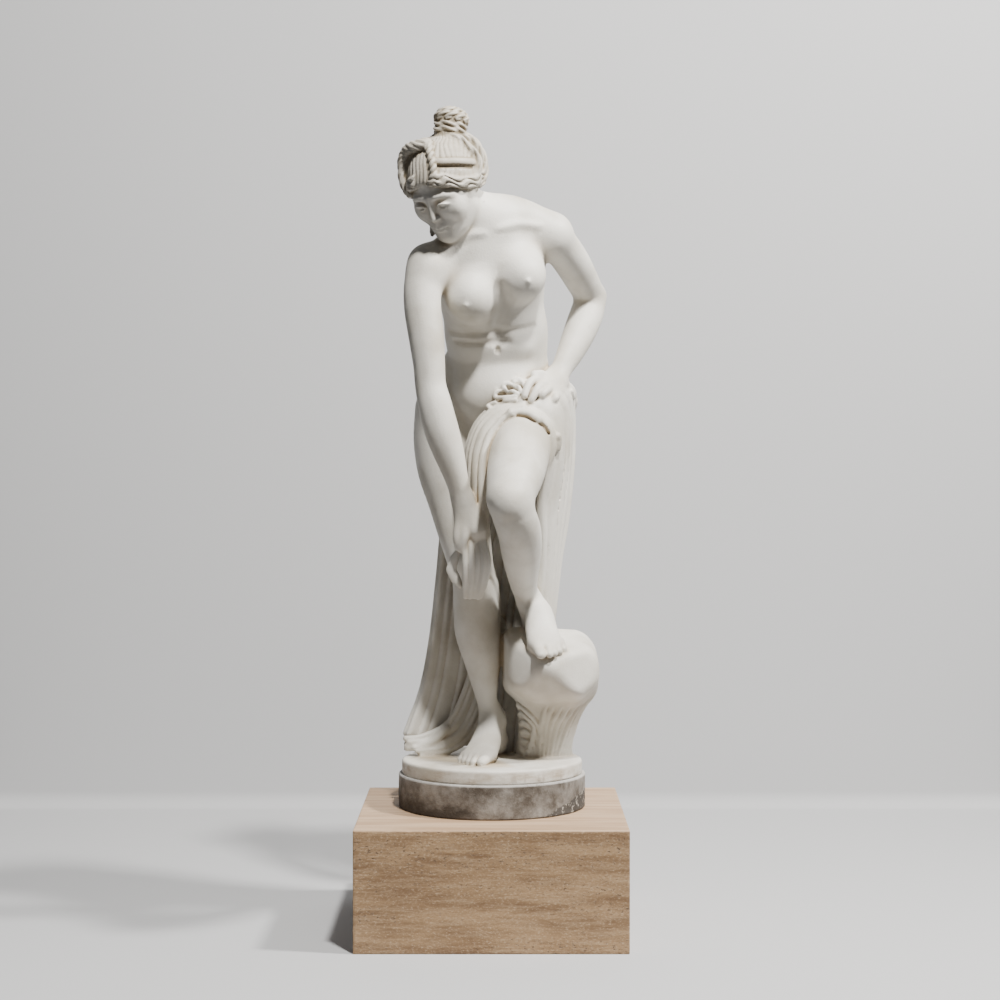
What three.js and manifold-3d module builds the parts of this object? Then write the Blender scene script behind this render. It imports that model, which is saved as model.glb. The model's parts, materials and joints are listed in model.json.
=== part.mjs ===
// A classical marble figure: a bather bends over a raised knee, one foot on a boulder, a cloth
// gathered at the hip. The figure, the boulder, the cloth and the round ground under them are
// carved from one block of marble. It stands on a round grey socle on a square travertine block.
// Millimetres, +Z up, seen along +Y. The origin is under the middle of the travertine block.
import * as THREE from "three";
import { edgeTable, triTable } from "three/addons/objects/MarchingCubes.js";
import { mergeVertices } from "three/addons/utils/BufferGeometryUtils.js";
import Module from "manifold-3d";

// The travertine block.
const BLOCK_WIDTH = 610;
const BLOCK_DEPTH = 610;
const BLOCK_HEIGHT = 273;
const BLOCK_ARRIS = 2.5;

// The grey socle, set a little behind the middle of the block.
const SOCLE_RADIUS = 220;
const SOCLE_HEIGHT = 79;
const SOCLE_ARRIS = 4;
const SOCLE_SETBACK = 40;
const ROUND_SIDES = 60;

// The marble, from its underside to the top of the bun. The carving below is written for a marble
// 1530 mm tall, and all of it is a share of the marble's height.
const MARBLE_HEIGHT = 1530;
const SHARE = MARBLE_HEIGHT / 1530;
const GROUND_RADIUS = 212;
const GROUND_THICKNESS = 33;
const GROUND_ARRIS = 7;

// The carving grid, and the number of triangles that the carved surface is brought down to.
const GRID_STEP = 6;
const CARVED_TRIANGLES = 8500;
const HEAD_CARE = 5;

// How the cloth is laid.
const LINES_PER_PLEAT = 5;
const CLOTH_SOFT = 7;

const vec = (x, y, z) => new THREE.Vector3(x, y, z);
const mix = (a, b, t) => a + (b - a) * t;
const X_AXIS = vec(1, 0, 0);
const WORLD = [vec(1, 0, 0), vec(0, 1, 0), vec(0, 0, 1)];

// A smooth minimum: two surfaces melt together over the length soft.
function melt(a, b, soft) {
  const h = Math.max(soft - Math.abs(a - b), 0) / soft;
  return Math.min(a, b) - (h * h * soft) / 4;
}

// A bead is a stretched ball, or two of them and the hull between. Its distance is the usual
// estimate for an ellipsoid, k0 (k0 - 1) / k1, taken in the frame along, across and through.
class Bead {
  constructor(start, end, startSize, endSize, across) {
    this.a = start;
    this.span = end.clone().sub(start);
    this.length2 = Math.max(this.span.lengthSq(), 1e-9);
    this.along = this.span.clone().normalize();
    this.side = across.clone().addScaledVector(this.along, -across.dot(this.along)).normalize();
    this.through = this.along.clone().cross(this.side);
    this.startSize = startSize;
    this.endSize = endSize;
    const most = Math.max(...startSize, ...endSize);
    const low = start.clone().min(end);
    const high = start.clone().max(end);
    this.low = low.subScalar(most).toArray();
    this.high = high.addScalar(most).toArray();
  }

  distance(x, y, z) {
    const { a, span, along, side, through, startSize, endSize } = this;
    let vx = x - a.x;
    let vy = y - a.y;
    let vz = z - a.z;
    const t = Math.min(1, Math.max(0, (vx * span.x + vy * span.y + vz * span.z) / this.length2));
    vx -= t * span.x;
    vy -= t * span.y;
    vz -= t * span.z;
    const wide = mix(startSize[0], endSize[0], t);
    const deep = mix(startSize[1], endSize[1], t);
    const long = (wide + deep) / 2;
    const s = (vx * side.x + vy * side.y + vz * side.z) / wide;
    const q = (vx * through.x + vy * through.y + vz * through.z) / deep;
    const w = (vx * along.x + vy * along.y + vz * along.z) / long;
    const k0 = Math.sqrt(s * s + q * q + w * w);
    const k1 = Math.sqrt((s / wide) ** 2 + (q / deep) ** 2 + (w / long) ** 2);
    return k1 > 1e-9 ? (k0 * (k0 - 1)) / k1 : -Math.min(wide, deep);
  }
}

// A stretched ball with its half-lengths along three axes.
class Ball {
  constructor(centre, radii, axes) {
    this.centre = centre;
    this.radii = radii;
    this.axes = axes;
    const most = Math.max(...radii);
    this.low = centre.clone().subScalar(most).toArray();
    this.high = centre.clone().addScalar(most).toArray();
  }

  distance(x, y, z) {
    let k0 = 0;
    let k1 = 0;
    for (let i = 0; i < 3; i++) {
      const axis = this.axes[i];
      const r = this.radii[i];
      const u =
        ((x - this.centre.x) * axis.x + (y - this.centre.y) * axis.y + (z - this.centre.z) * axis.z) / r;
      k0 += u * u;
      k1 += (u / r) ** 2;
    }
    k0 = Math.sqrt(k0);
    k1 = Math.sqrt(k1);
    return k1 > 1e-9 ? (k0 * (k0 - 1)) / k1 : -Math.min(...this.radii);
  }
}

// Clay: the distance to the surface at each point of a grid, negative inside. Forms are melted
// on to it and cut out of it, one after another.
class Clay {
  constructor(low, high, step) {
    this.low = low;
    this.step = step;
    this.size = low.map((v, i) => Math.ceil((high[i] - v) / step) + 1);
    const count = this.size[0] * this.size[1] * this.size[2];
    this.field = new Float32Array(count).fill(99);
    this.form = new Float32Array(count);
  }

  // Calls visit(index, x, y, z) for the grid points in a box.
  within(low, high, visit) {
    const { step, size } = this;
    const from = low.map((v, i) => Math.max(0, Math.floor((v - this.low[i]) / step)));
    const to = high.map((v, i) => Math.min(size[i] - 1, Math.ceil((v - this.low[i]) / step)));
    for (let k = from[2]; k <= to[2]; k++)
      for (let j = from[1]; j <= to[1]; j++) {
        const row = (k * size[1] + j) * size[0];
        for (let i = from[0]; i <= to[0]; i++)
          visit(row + i, this.low[0] + i * step, this.low[1] + j * step, this.low[2] + k * step);
      }
  }

  // The form is the least distance to its beads. Outside their reach it counts as far away.
  work(beads, soft, reach, join) {
    const low = [0, 1, 2].map((i) => Math.min(...beads.map((b) => b.low[i])) - reach);
    const high = [0, 1, 2].map((i) => Math.max(...beads.map((b) => b.high[i])) + reach);
    const { field, form } = this;
    this.within(low, high, (n) => {
      form[n] = 99;
    });
    for (const bead of beads)
      this.within(
        bead.low.map((v) => v - reach),
        bead.high.map((v) => v + reach),
        (n, x, y, z) => {
          const d = bead.distance(x, y, z);
          if (d < form[n]) form[n] = d;
        },
      );
    this.within(low, high, (n) => {
      if (form[n] < 99) field[n] = join(field[n], form[n], soft);
    });
  }

  // Nothing of the carving passes the outer faces of the grid.
  close() {
    const { size, field, step } = this;
    for (let n = 0; n < field.length; n++) {
      const cell = [n % size[0], Math.floor(n / size[0]) % size[1], Math.floor(n / size[0] / size[1])];
      if (cell.some((v, i) => v === 0 || v === size[i] - 1)) field[n] = Math.max(field[n], step);
    }
  }

  // The distance at any point, between the grid points around it.
  at(point) {
    const { field, size, step } = this;
    const place = point.toArray().map((v, i) => Math.min(size[i] - 1.001, Math.max(0, (v - this.low[i]) / step)));
    const cell = place.map(Math.floor);
    const part = place.map((v, i) => v - cell[i]);
    const value = (i, j, k) => field[((cell[2] + k) * size[1] + cell[1] + j) * size[0] + cell[0] + i];
    const row = (j, k) => mix(value(0, j, k), value(1, j, k), part[0]);
    return mix(mix(row(0, 0), row(1, 0), part[1]), mix(row(0, 1), row(1, 1), part[1]), part[2]);
  }

  // The direction in which the distance grows fastest.
  slope(point) {
    const reach = 6;
    const rise = (axis) =>
      this.at(point.clone().addScaledVector(axis, reach)) - this.at(point.clone().addScaledVector(axis, -reach));
    return vec(...WORLD.map(rise)).normalize();
  }

  // Moves a point that is less than clear outside the surface straight out, until it is.
  lift(point, clear) {
    const moved = point.clone();
    for (let turn = 0; turn < 8; turn++) {
      const short = clear - this.at(moved);
      if (short < 0.3) break;
      moved.addScaledVector(this.slope(moved), Math.min(short, 20));
    }
    return moved;
  }

  // Moves a point along the slope, in or out, to stand clear of the surface.
  lay(point, clear) {
    const moved = point.clone();
    for (let turn = 0; turn < 6; turn++) {
      const short = clear - this.at(moved);
      moved.addScaledVector(this.slope(moved), 0.9 * Math.max(-14, Math.min(short, 14)));
    }
    return moved;
  }

  add(beads, soft = 20, reach = Math.max(soft, 12)) {
    this.work(beads, soft, reach, melt);
  }

  cut(beads, soft = 6, reach = Math.max(soft, 12)) {
    this.work(beads, soft, reach, (a, b, k) => -melt(-a, b, k));
  }
}

// A limb: beads along a smooth curve through stations [x, y, z, half width, half depth].
function limb(stations, across = X_AXIS, steps = 4) {
  const path = new THREE.CatmullRomCurve3(
    stations.map((s) => vec(s[0], s[1], s[2])),
    false,
    "catmullrom",
  );
  const girth = new THREE.CatmullRomCurve3(
    stations.map((s) => vec(s[3], s[4] ?? s[3], 0)),
    false,
    "catmullrom",
  );
  const count = (stations.length - 1) * steps;
  const beads = [];
  for (let i = 0; i < count; i++) {
    const [from, to] = [i / count, (i + 1) / count];
    const size = (t) => girth.getPoint(t).toArray().slice(0, 2);
    beads.push(new Bead(path.getPoint(from), path.getPoint(to), size(from), size(to), across));
  }
  return beads;
}

const ball = (x, y, z, rx, ry = rx, rz = rx) => [new Ball(vec(x, y, z), [rx, ry, rz], WORLD)];

// A frame of its own for a head, a hand or a foot: a place and three axes.
class Frame {
  constructor(place, forward, up) {
    this.place = place;
    this.y = forward.clone().normalize().negate();
    this.x = this.y.clone().cross(up).normalize();
    this.z = this.x.clone().cross(this.y);
    this.axes = [this.x, this.y, this.z];
  }

  at(x, y, z) {
    return this.place
      .clone()
      .addScaledVector(this.x, x)
      .addScaledVector(this.y, y)
      .addScaledVector(this.z, z);
  }

  limb(stations, across = this.x, steps = 3) {
    return limb(
      stations.map((s) => [...this.at(s[0], s[1], s[2]).toArray(), ...s.slice(3)]),
      across,
      steps,
    );
  }

  ball(x, y, z, rx, ry = rx, rz = rx) {
    return [new Ball(this.at(x, y, z), [rx, ry, rz], this.axes)];
  }
}

// A sheet of cloth between two edge curves, pleated across. swell moves the middle of the sheet out
// along outward, by its first value at the start of the pleats and its last at their end. Where the
// sheet would sink into the body, it is lifted to lie on it. A sharp pleat falls away on one side only.
function drape(clay, edges, pleats, depth, thickness, outward, { swell = [0, 0], sharp = false } = {}) {
  const curves = edges.map(
    (points) => new THREE.CatmullRomCurve3(points.map((p) => vec(...p)), false, "catmullrom"),
  );
  const lines = pleats * LINES_PER_PLEAT;
  const steps = (edges[0].length - 1) * 2;
  const beads = [];
  let last = null;
  for (let i = 0; i <= lines; i++) {
    const u = i / lines;
    const v = (u * pleats + 0.22 * Math.sin(2.1 * u * pleats)) % 1;
    const height = sharp ? (1 - v) ** 1.4 : 1 - Math.abs(2 * v - 1) ** 2.4;
    const places = Array.from({ length: steps + 1 }, (_, j) => {
      const t = j / steps;
      const place = curves[0].getPoint(t).lerp(curves[1].getPoint(t), u);
      place.addScaledVector(outward, mix(swell[0], swell[1], t) * Math.sin(Math.PI * u));
      const grown = depth * Math.min(1, 0.35 + 1.6 * t);
      return clay.lift(place, 0.3 * thickness).addScaledVector(outward, grown * height);
    });
    beads.push(...chain(places, thickness * (0.8 + 0.2 * height)));
    // A line between this one and the last closes the sheet where a pleat falls away.
    if (last) beads.push(...chain(places.map((place, j) => place.clone().lerp(last[j], 0.5)), 0.85 * thickness));
    last = places;
  }
  clay.add(beads, CLOTH_SOFT, 16);
}

// Round beads from place to place.
function chain(places, radius) {
  const size = [radius, radius];
  return places.slice(1).map((place, i) => new Bead(places[i], place, size, size, X_AXIS));
}

// A round ridge laid on the surface through stations [x, y, z].
function strand(clay, stations, radius, clear) {
  const path = new THREE.CatmullRomCurve3(stations.map((p) => vec(...p)), false, "catmullrom");
  return chain(path.getPoints((stations.length - 1) * 3).map((p) => clay.lay(p, clear)), radius);
}

// The trunk, from the hips to the root of the neck, bent forward and turned at the shoulders.
function trunk(clay) {
  const hips = limb(
    [
      [-12, 70, 800, 136, 88],
      [-12, 72, 850, 156, 96],
      [2, 54, 908, 142, 90],
      [14, 18, 975, 117, 80],
      [11, -12, 1030, 115, 80],
    ],
    vec(1, 0.04, 0.03),
  );
  const chest = limb(
    [
      [11, -12, 1030, 115, 80],
      [4, -44, 1085, 121, 86],
      [0, -80, 1145, 128, 86],
      [0, -104, 1210, 128, 72],
      [8, -118, 1258, 104, 56],
      [8, -126, 1285, 70, 40],
    ],
    vec(1, 0.3, 0.27),
  );
  clay.add(hips, 30, 45);
  clay.add(chest, 30, 45);
  // The belly, the flanks and the seat.
  clay.add(ball(6, -34, 905, 90, 56, 84), 36);
  clay.add(ball(10, -58, 998, 80, 34, 28), 26);
  for (const [x, y, z] of [[-90, 126, 838], [70, 120, 836]]) clay.add(ball(x, y, z, 84, 64, 78), 36);
  clay.cut(limb([[-12, 192, 765, 7], [-10, 196, 812, 8], [-7, 184, 858, 4]]), 24);
  // The upper back, the shoulders and the neck.
  clay.add(ball(32, -88, 1272, 72, 48, 52), 36);
  clay.add(
    limb([
      [-136, -160, 1180, 36],
      [-70, -135, 1232, 38],
      [6, -108, 1284, 44],
      [84, -90, 1284, 42],
      [136, -84, 1262, 42],
    ]),
    34,
  );
  clay.add(limb([[2, -118, 1274, 52], [-38, -150, 1300, 47], [-82, -180, 1328, 44]]), 30);
  // The breasts.
  clay.add(ball(-44, -142, 1112, 56, 58, 58), 34);
  clay.add(ball(-50, -158, 1098, 43, 44, 43), 30);
  clay.add(ball(64, -130, 1164, 54, 56, 60), 34);
  clay.add(ball(74, -148, 1150, 43, 42, 43), 30);
  // The spine, the creases of the belly, the groin and the navel.
  clay.cut(limb([[32, -14, 1250, 4, 8], [22, 46, 1120, 6, 10], [14, 96, 1000, 5, 8], [10, 118, 955, 3, 5]]), 34);
  clay.cut(limb([[-84, -84, 1036, 2], [-30, -116, 1026, 3], [40, -118, 1030, 3], [100, -84, 1046, 2]]), 12);
  clay.cut(ball(13, -98, 988, 6, 10, 7), 10);
}

function legs(clay) {
  // The standing leg, thigh to ankle.
  clay.add(
    limb([
      [-105, 72, 850, 78, 94],
      [-114, 64, 785, 73, 90],
      [-106, 50, 715, 71, 82],
      [-90, 34, 645, 63, 74],
      [-74, 12, 574, 56, 66],
      [-58, -6, 515, 52, 60],
      [-42, -14, 455, 51, 56],
      [-38, 2, 392, 53, 54],
      [-34, 16, 333, 54, 53],
      [-24, 26, 271, 45, 47],
      [-18, 34, 213, 33, 38],
      [-11, 40, 160, 24, 32],
      [4, 46, 100, 26, 33],
      [6, 50, 72, 28, 35],
    ]),
    24,
    45,
  );
  clay.add(ball(-50, -62, 500, 30, 18, 32), 22);
  // The raised thigh and shin.
  clay.add(
    limb([
      [84, 66, 838, 80, 88],
      [78, -20, 812, 76, 82],
      [68, -105, 768, 70, 74],
      [56, -190, 714, 66, 66],
      [47, -248, 676, 58, 56],
      [40, -282, 652, 48, 46],
    ]),
    24,
    45,
  );
  clay.add(
    limb([
      [40, -280, 648, 47, 44],
      [50, -268, 614, 49, 46],
      [63, -222, 573, 49, 50],
      [68, -158, 522, 45, 48],
      [72, -94, 467, 35, 39],
      [79, -44, 425, 28, 33],
      [88, -12, 396, 29, 33],
    ]),
    18,
    40,
  );
  clay.add(ball(38, -312, 640, 26, 18, 28), 18);
}

// A foot, in its own frame: the heel's ground point, the toes forward. big is the side of the
// big toe, 1 for the right foot and -1 for the left.
function foot(clay, frame, big) {
  clay.add(frame.ball(0, -28, 30, 29, 34, 30), 20, 30);
  clay.add(
    frame.limb([
      [0, -36, 92, 27, 32],
      [2 * big, -78, 64, 32, 28],
      [4 * big, -125, 36, 38, 23],
      [2 * big, -165, 22, 40, 15],
    ]),
    20,
    30,
  );
  clay.add(
    frame.limb([
      [22 * big, -160, 17, 17, 14],
      [25 * big, -192, 15, 13, 12],
      [24 * big, -216, 12, 13, 10],
    ]),
    8,
  );
  for (let i = 0; i < 4; i++) {
    const side = (3 - 13.5 * i) * big;
    const end = 212 - 7 * i - 1.6 * i * i;
    clay.add(
      frame.limb([
        [side, -158 + 4 * i, 17, 10],
        [side, -end + 22, 18, 8.5],
        [side, -end, 10, 8.5],
      ]),
      5,
    );
  }
}

function arms(clay) {
  clay.add(ball(-142, -166, 1172, 46, 48, 50), 30);
  clay.add(
    limb([
      [-146, -168, 1180, 41],
      [-156, -178, 1135, 42],
      [-156, -185, 1080, 42],
      [-147, -192, 1010, 40],
      [-141, -196, 950, 36],
      [-138, -196, 905, 35],
      [-128, -198, 860, 38],
      [-114, -197, 806, 39],
      [-100, -192, 762, 36],
      [-89, -186, 726, 31],
      [-78, -178, 688, 26],
      [-66, -168, 645, 24, 20],
    ]),
    18,
    36,
  );
  clay.add(ball(136, -80, 1252, 47), 28);
  clay.add(
    limb([
      [138, -78, 1250, 44],
      [163, -45, 1228, 43],
      [190, 5, 1196, 42],
      [216, 62, 1158, 39],
      [236, 108, 1126, 36],
    ]),
    16,
    36,
  );
  clay.add(
    limb([
      [238, 110, 1128, 34],
      [227, 92, 1086, 40],
      [207, 64, 1036, 38],
      [186, 38, 990, 32],
      [169, 18, 958, 26],
      [155, 2, 934, 24, 19],
    ]),
    12,
    36,
  );
}

// The hands: a palm, a thumb, and fingers from knuckle to tip.
function hands(clay) {
  // The left hand holds the gathered cloth on the thigh.
  const across = vec(0.75, -0.15, -0.65);
  clay.add(limb([[155, 2, 936, 24, 19], [146, -20, 922, 31, 17], [130, -48, 905, 33, 13]], across), 12);
  const holding = [
    [[108, -58, 923, 10.5], [90, -88, 916, 9.5], [80, -100, 897, 8.5], [73, -100, 880, 8]],
    [[122, -58, 912, 10.5], [108, -92, 903, 9.5], [97, -104, 884, 8.5], [89, -103, 867, 8]],
    [[136, -52, 901, 10], [126, -84, 893, 9], [116, -97, 877, 8.5], [109, -97, 862, 8]],
    [[148, -42, 890, 9.5], [143, -70, 879, 8.5], [134, -82, 866, 8], [129, -80, 857, 8]],
  ];
  for (const finger of holding) clay.add(limb(finger), 4);
  clay.add(limb([[140, -6, 915, 12], [118, -40, 934, 10.5], [98, -66, 934, 9]]), 8);
  // The right hand hangs and holds a bunch of cloth between its fingers.
  clay.add(limb([[-66, -168, 648, 24, 20], [-58, -166, 616, 28, 16], [-47, -162, 584, 31, 13]]), 12);
  const hanging = [
    [[-70, -162, 588, 9], [-70, -168, 572, 9], [-73, -168, 552, 8], [-74, -158, 536, 8]],
    [[-56, -164, 588, 9.5], [-54, -172, 566, 9], [-54, -170, 534, 8.5], [-53, -158, 508, 8]],
    [[-40, -166, 586, 9.5], [-37, -174, 562, 9], [-36, -171, 528, 8.5], [-33, -158, 500, 8]],
    [[-26, -162, 586, 9.5], [-23, -171, 566, 9], [-18, -168, 534, 8.5], [-15, -155, 504, 8]],
  ];
  for (const finger of hanging) clay.add(limb(finger), 4);
  clay.add(limb([[-44, -180, 606, 10], [-30, -186, 580, 9.5], [-26, -184, 556, 8]]), 6);
}

// The head bends forward and turns to the right shoulder. A calm, regular face, waved hair
// drawn up from the hairline under a band, and a coiled bun.
const HEAD = new Frame(vec(-100, -203, 1350), vec(-0.38, -0.66, -0.64), vec(-0.36, -0.52, 0.77));

function head(clay) {
  clay.add(HEAD.ball(0, 10, 26, 72, 90, 80), 24, 34);
  clay.add(HEAD.ball(0, -30, -22, 60, 56, 62), 26, 30);
  clay.add(HEAD.ball(0, -58, -66, 28, 28, 24), 26);
  clay.add(HEAD.limb([[-40, -10, -50, 14], [0, -60, -74, 17], [40, -10, -50, 14]]), 20);
  // Brow, nose, lips and chin, and hollows for the eyes.
  for (const side of [-1, 1]) {
    clay.cut(HEAD.ball(side * 28, -92, 8, 17, 12, 10), 12);
    clay.add(HEAD.ball(side * 28, -72, 6, 14, 13, 11), 4);
    clay.add(HEAD.limb([[side * 8, -86, 20, 6], [side * 28, -84, 24, 7], [side * 48, -66, 18, 7]]), 12);
  }
  clay.add(HEAD.limb([[0, -83, 24, 7], [0, -88, 8, 6], [0, -93, -8, 7], [0, -97, -21, 8]]), 10);
  clay.add(HEAD.limb([[-18, -80, -46, 5], [0, -89, -44, 6], [18, -80, -46, 5]]), 6);
  clay.add(HEAD.limb([[-15, -78, -55, 5], [0, -87, -55, 6], [15, -78, -55, 5]]), 6);
  hair(clay);
}

function hair(clay) {
  const knot = [0, 70, 84];
  // Locks from the hairline up to the knot, over the brow and the temples.
  for (let i = -7; i <= 7; i++) {
    const turn = (i / 7) * 1.9;
    const [sx, cz] = [Math.sin(turn), Math.cos(turn)];
    clay.add(
      HEAD.limb([
        [66 * sx, -66 + 46 * sx * sx, 20 + 52 * cz, 7],
        [82 * sx, -46 + 44 * sx * sx, 26 + 66 * cz, 12],
        [80 * sx, 6 + 16 * sx * sx, 38 + 66 * cz, 12],
        [44 * sx, 46, 52 + 46 * cz, 11],
        [20 * sx, knot[1] - 6, knot[2] - 8 + 12 * cz, 10],
      ]),
      7,
    );
  }
  // Locks up the back of the head.
  for (let i = -3; i <= 3; i++)
    clay.add(
      HEAD.limb([
        [17 * i, 62 - 2 * i * i, -52, 9],
        [22 * i, 92 - 4 * i * i, -4, 12],
        [18 * i, 96 - 3 * i * i, 46, 12],
        [6 * i, knot[1] + 8, knot[2] - 10, 10],
      ]),
      8,
    );
  // The band, and a raised loop on each side of the crown.
  const band = [];
  for (let i = -4; i <= 4; i++) {
    const turn = (i / 4) * 1.75;
    band.push([84 * Math.sin(turn), -14 + 34 * Math.sin(turn) ** 2, 40 + 66 * Math.cos(turn), 7, 5]);
  }
  clay.add(HEAD.limb(band), 4);
  for (const side of [-1, 1])
    clay.add(
      HEAD.limb([
        [side * 30, -52, 84, 12],
        [side * 58, -34, 96, 15],
        [side * 76, 6, 84, 15],
        [side * 62, 48, 72, 14],
      ]),
      8,
    );
  // The bun: two coils and a cap on a short neck of hair.
  const stem = HEAD.at(7, 64, 74);
  const lean = vec(0.12, 0.08, 1).normalize();
  const level = (h) => stem.clone().addScaledVector(lean, h).toArray();
  clay.add(limb([[...level(-10), 34], [...level(30), 31], [...level(54), 29]]), 10);
  clay.add(coil(stem.clone().addScaledVector(lean, 20), lean, 29, 12), 5);
  clay.add(coil(stem.clone().addScaledVector(lean, 43), lean, 24, 12), 5);
}

// A ring of rope round an axis.
function coil(centre, axis, radius, thickness, sides = 14) {
  const across = axis.clone().cross(vec(0, 1, 0)).normalize();
  const through = axis.clone().cross(across);
  const at = (i) => {
    const turn = (i / sides) * 2 * Math.PI;
    return centre
      .clone()
      .addScaledVector(across, radius * Math.cos(turn))
      .addScaledVector(through, radius * Math.sin(turn));
  };
  const size = [thickness, thickness];
  return Array.from({ length: sides }, (_, i) => new Bead(at(i), at(i + 1), size, size, axis));
}

// A boulder with flat faces: each face is [normal x, y, z] and a point on it.
class Boulder {
  constructor(faces, low, high, round) {
    this.faces = faces.map(([nx, ny, nz, x, y, z]) => {
      const normal = vec(nx, ny, nz).normalize();
      return [...normal.toArray(), normal.dot(vec(x, y, z))];
    });
    this.low = low;
    this.high = high;
    this.round = round;
  }

  distance(x, y, z) {
    let d = -1e3;
    for (const [nx, ny, nz, c] of this.faces) d = -melt(-d, c - nx * x - ny * y - nz * z, this.round);
    return d;
  }
}

// The boulder, the stump of reeds under it, and the ground.
function boulder(clay) {
  const faces = [
    [0.054, -0.255, 0.966, 92, 30, 343],
    [0, 1, 0.15, 140, 42, 262],
    [0.1, -1, 0.1, 140, -174, 240],
    [0.05, -0.8, 0.6, 140, -172, 272],
    [1, 0, 0.05, 250, 0, 250],
    [0.75, -0.1, 0.66, 232, -20, 308],
    [0.7, -0.25, -0.68, 236, -40, 192],
    [-1, -0.1, 0, 32, -40, 262],
    [-0.72, -0.68, 0.1, 58, -116, 262],
    [0.62, -0.78, 0, 212, -116, 250],
    [0, -0.3, -0.95, 142, -60, 166],
    [-0.1, -0.75, -0.65, 142, -122, 192],
    [-0.6, -0.2, -0.77, 58, -60, 188],
    [-0.5, 0.1, 0.86, 52, 10, 352],
  ];
  clay.add([new Boulder(faces, [20, -165, 155], [262, 65, 372], 12)], 12);
  clay.add(
    limb([
      [124, 46, 12, 70, 50],
      [126, 46, 60, 66, 48],
      [132, 30, 124, 70, 54],
      [136, -4, 190, 80, 66],
    ]),
    16,
    30,
  );
  // A sheaf of reeds that curls over on the left, and one that spreads up on the right.
  for (let i = 0; i < 3; i++) {
    const k = 1 - 0.3 * i;
    const curl = [
      [50 + 4 * i, 12 + 4 * i, 148 - 40 * i],
      [56 + 16 * k, -18 + 6 * i, 158 - 44 * i],
      [60 + 40 * k, -24 + 8 * i, 134 - 36 * i],
      [62 + 50 * k, -6 + 6 * i, 92 - 22 * i],
      [64 + 52 * k, 0, 46 - 6 * i],
    ];
    clay.add(strand(clay, curl, 13, -5), 5);
  }
  for (let i = 0; i < 4; i++) {
    const spread = [
      [118 + 19 * i, -4 + 8 * i, 30],
      [120 + 24 * i, -8 + 6 * i, 84],
      [126 + 28 * i, -28 + 9 * i, 132],
      [134 + 30 * i, -50 + 16 * i, 172],
    ];
    clay.add(strand(clay, spread, 14, -5), 5);
  }
}

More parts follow.
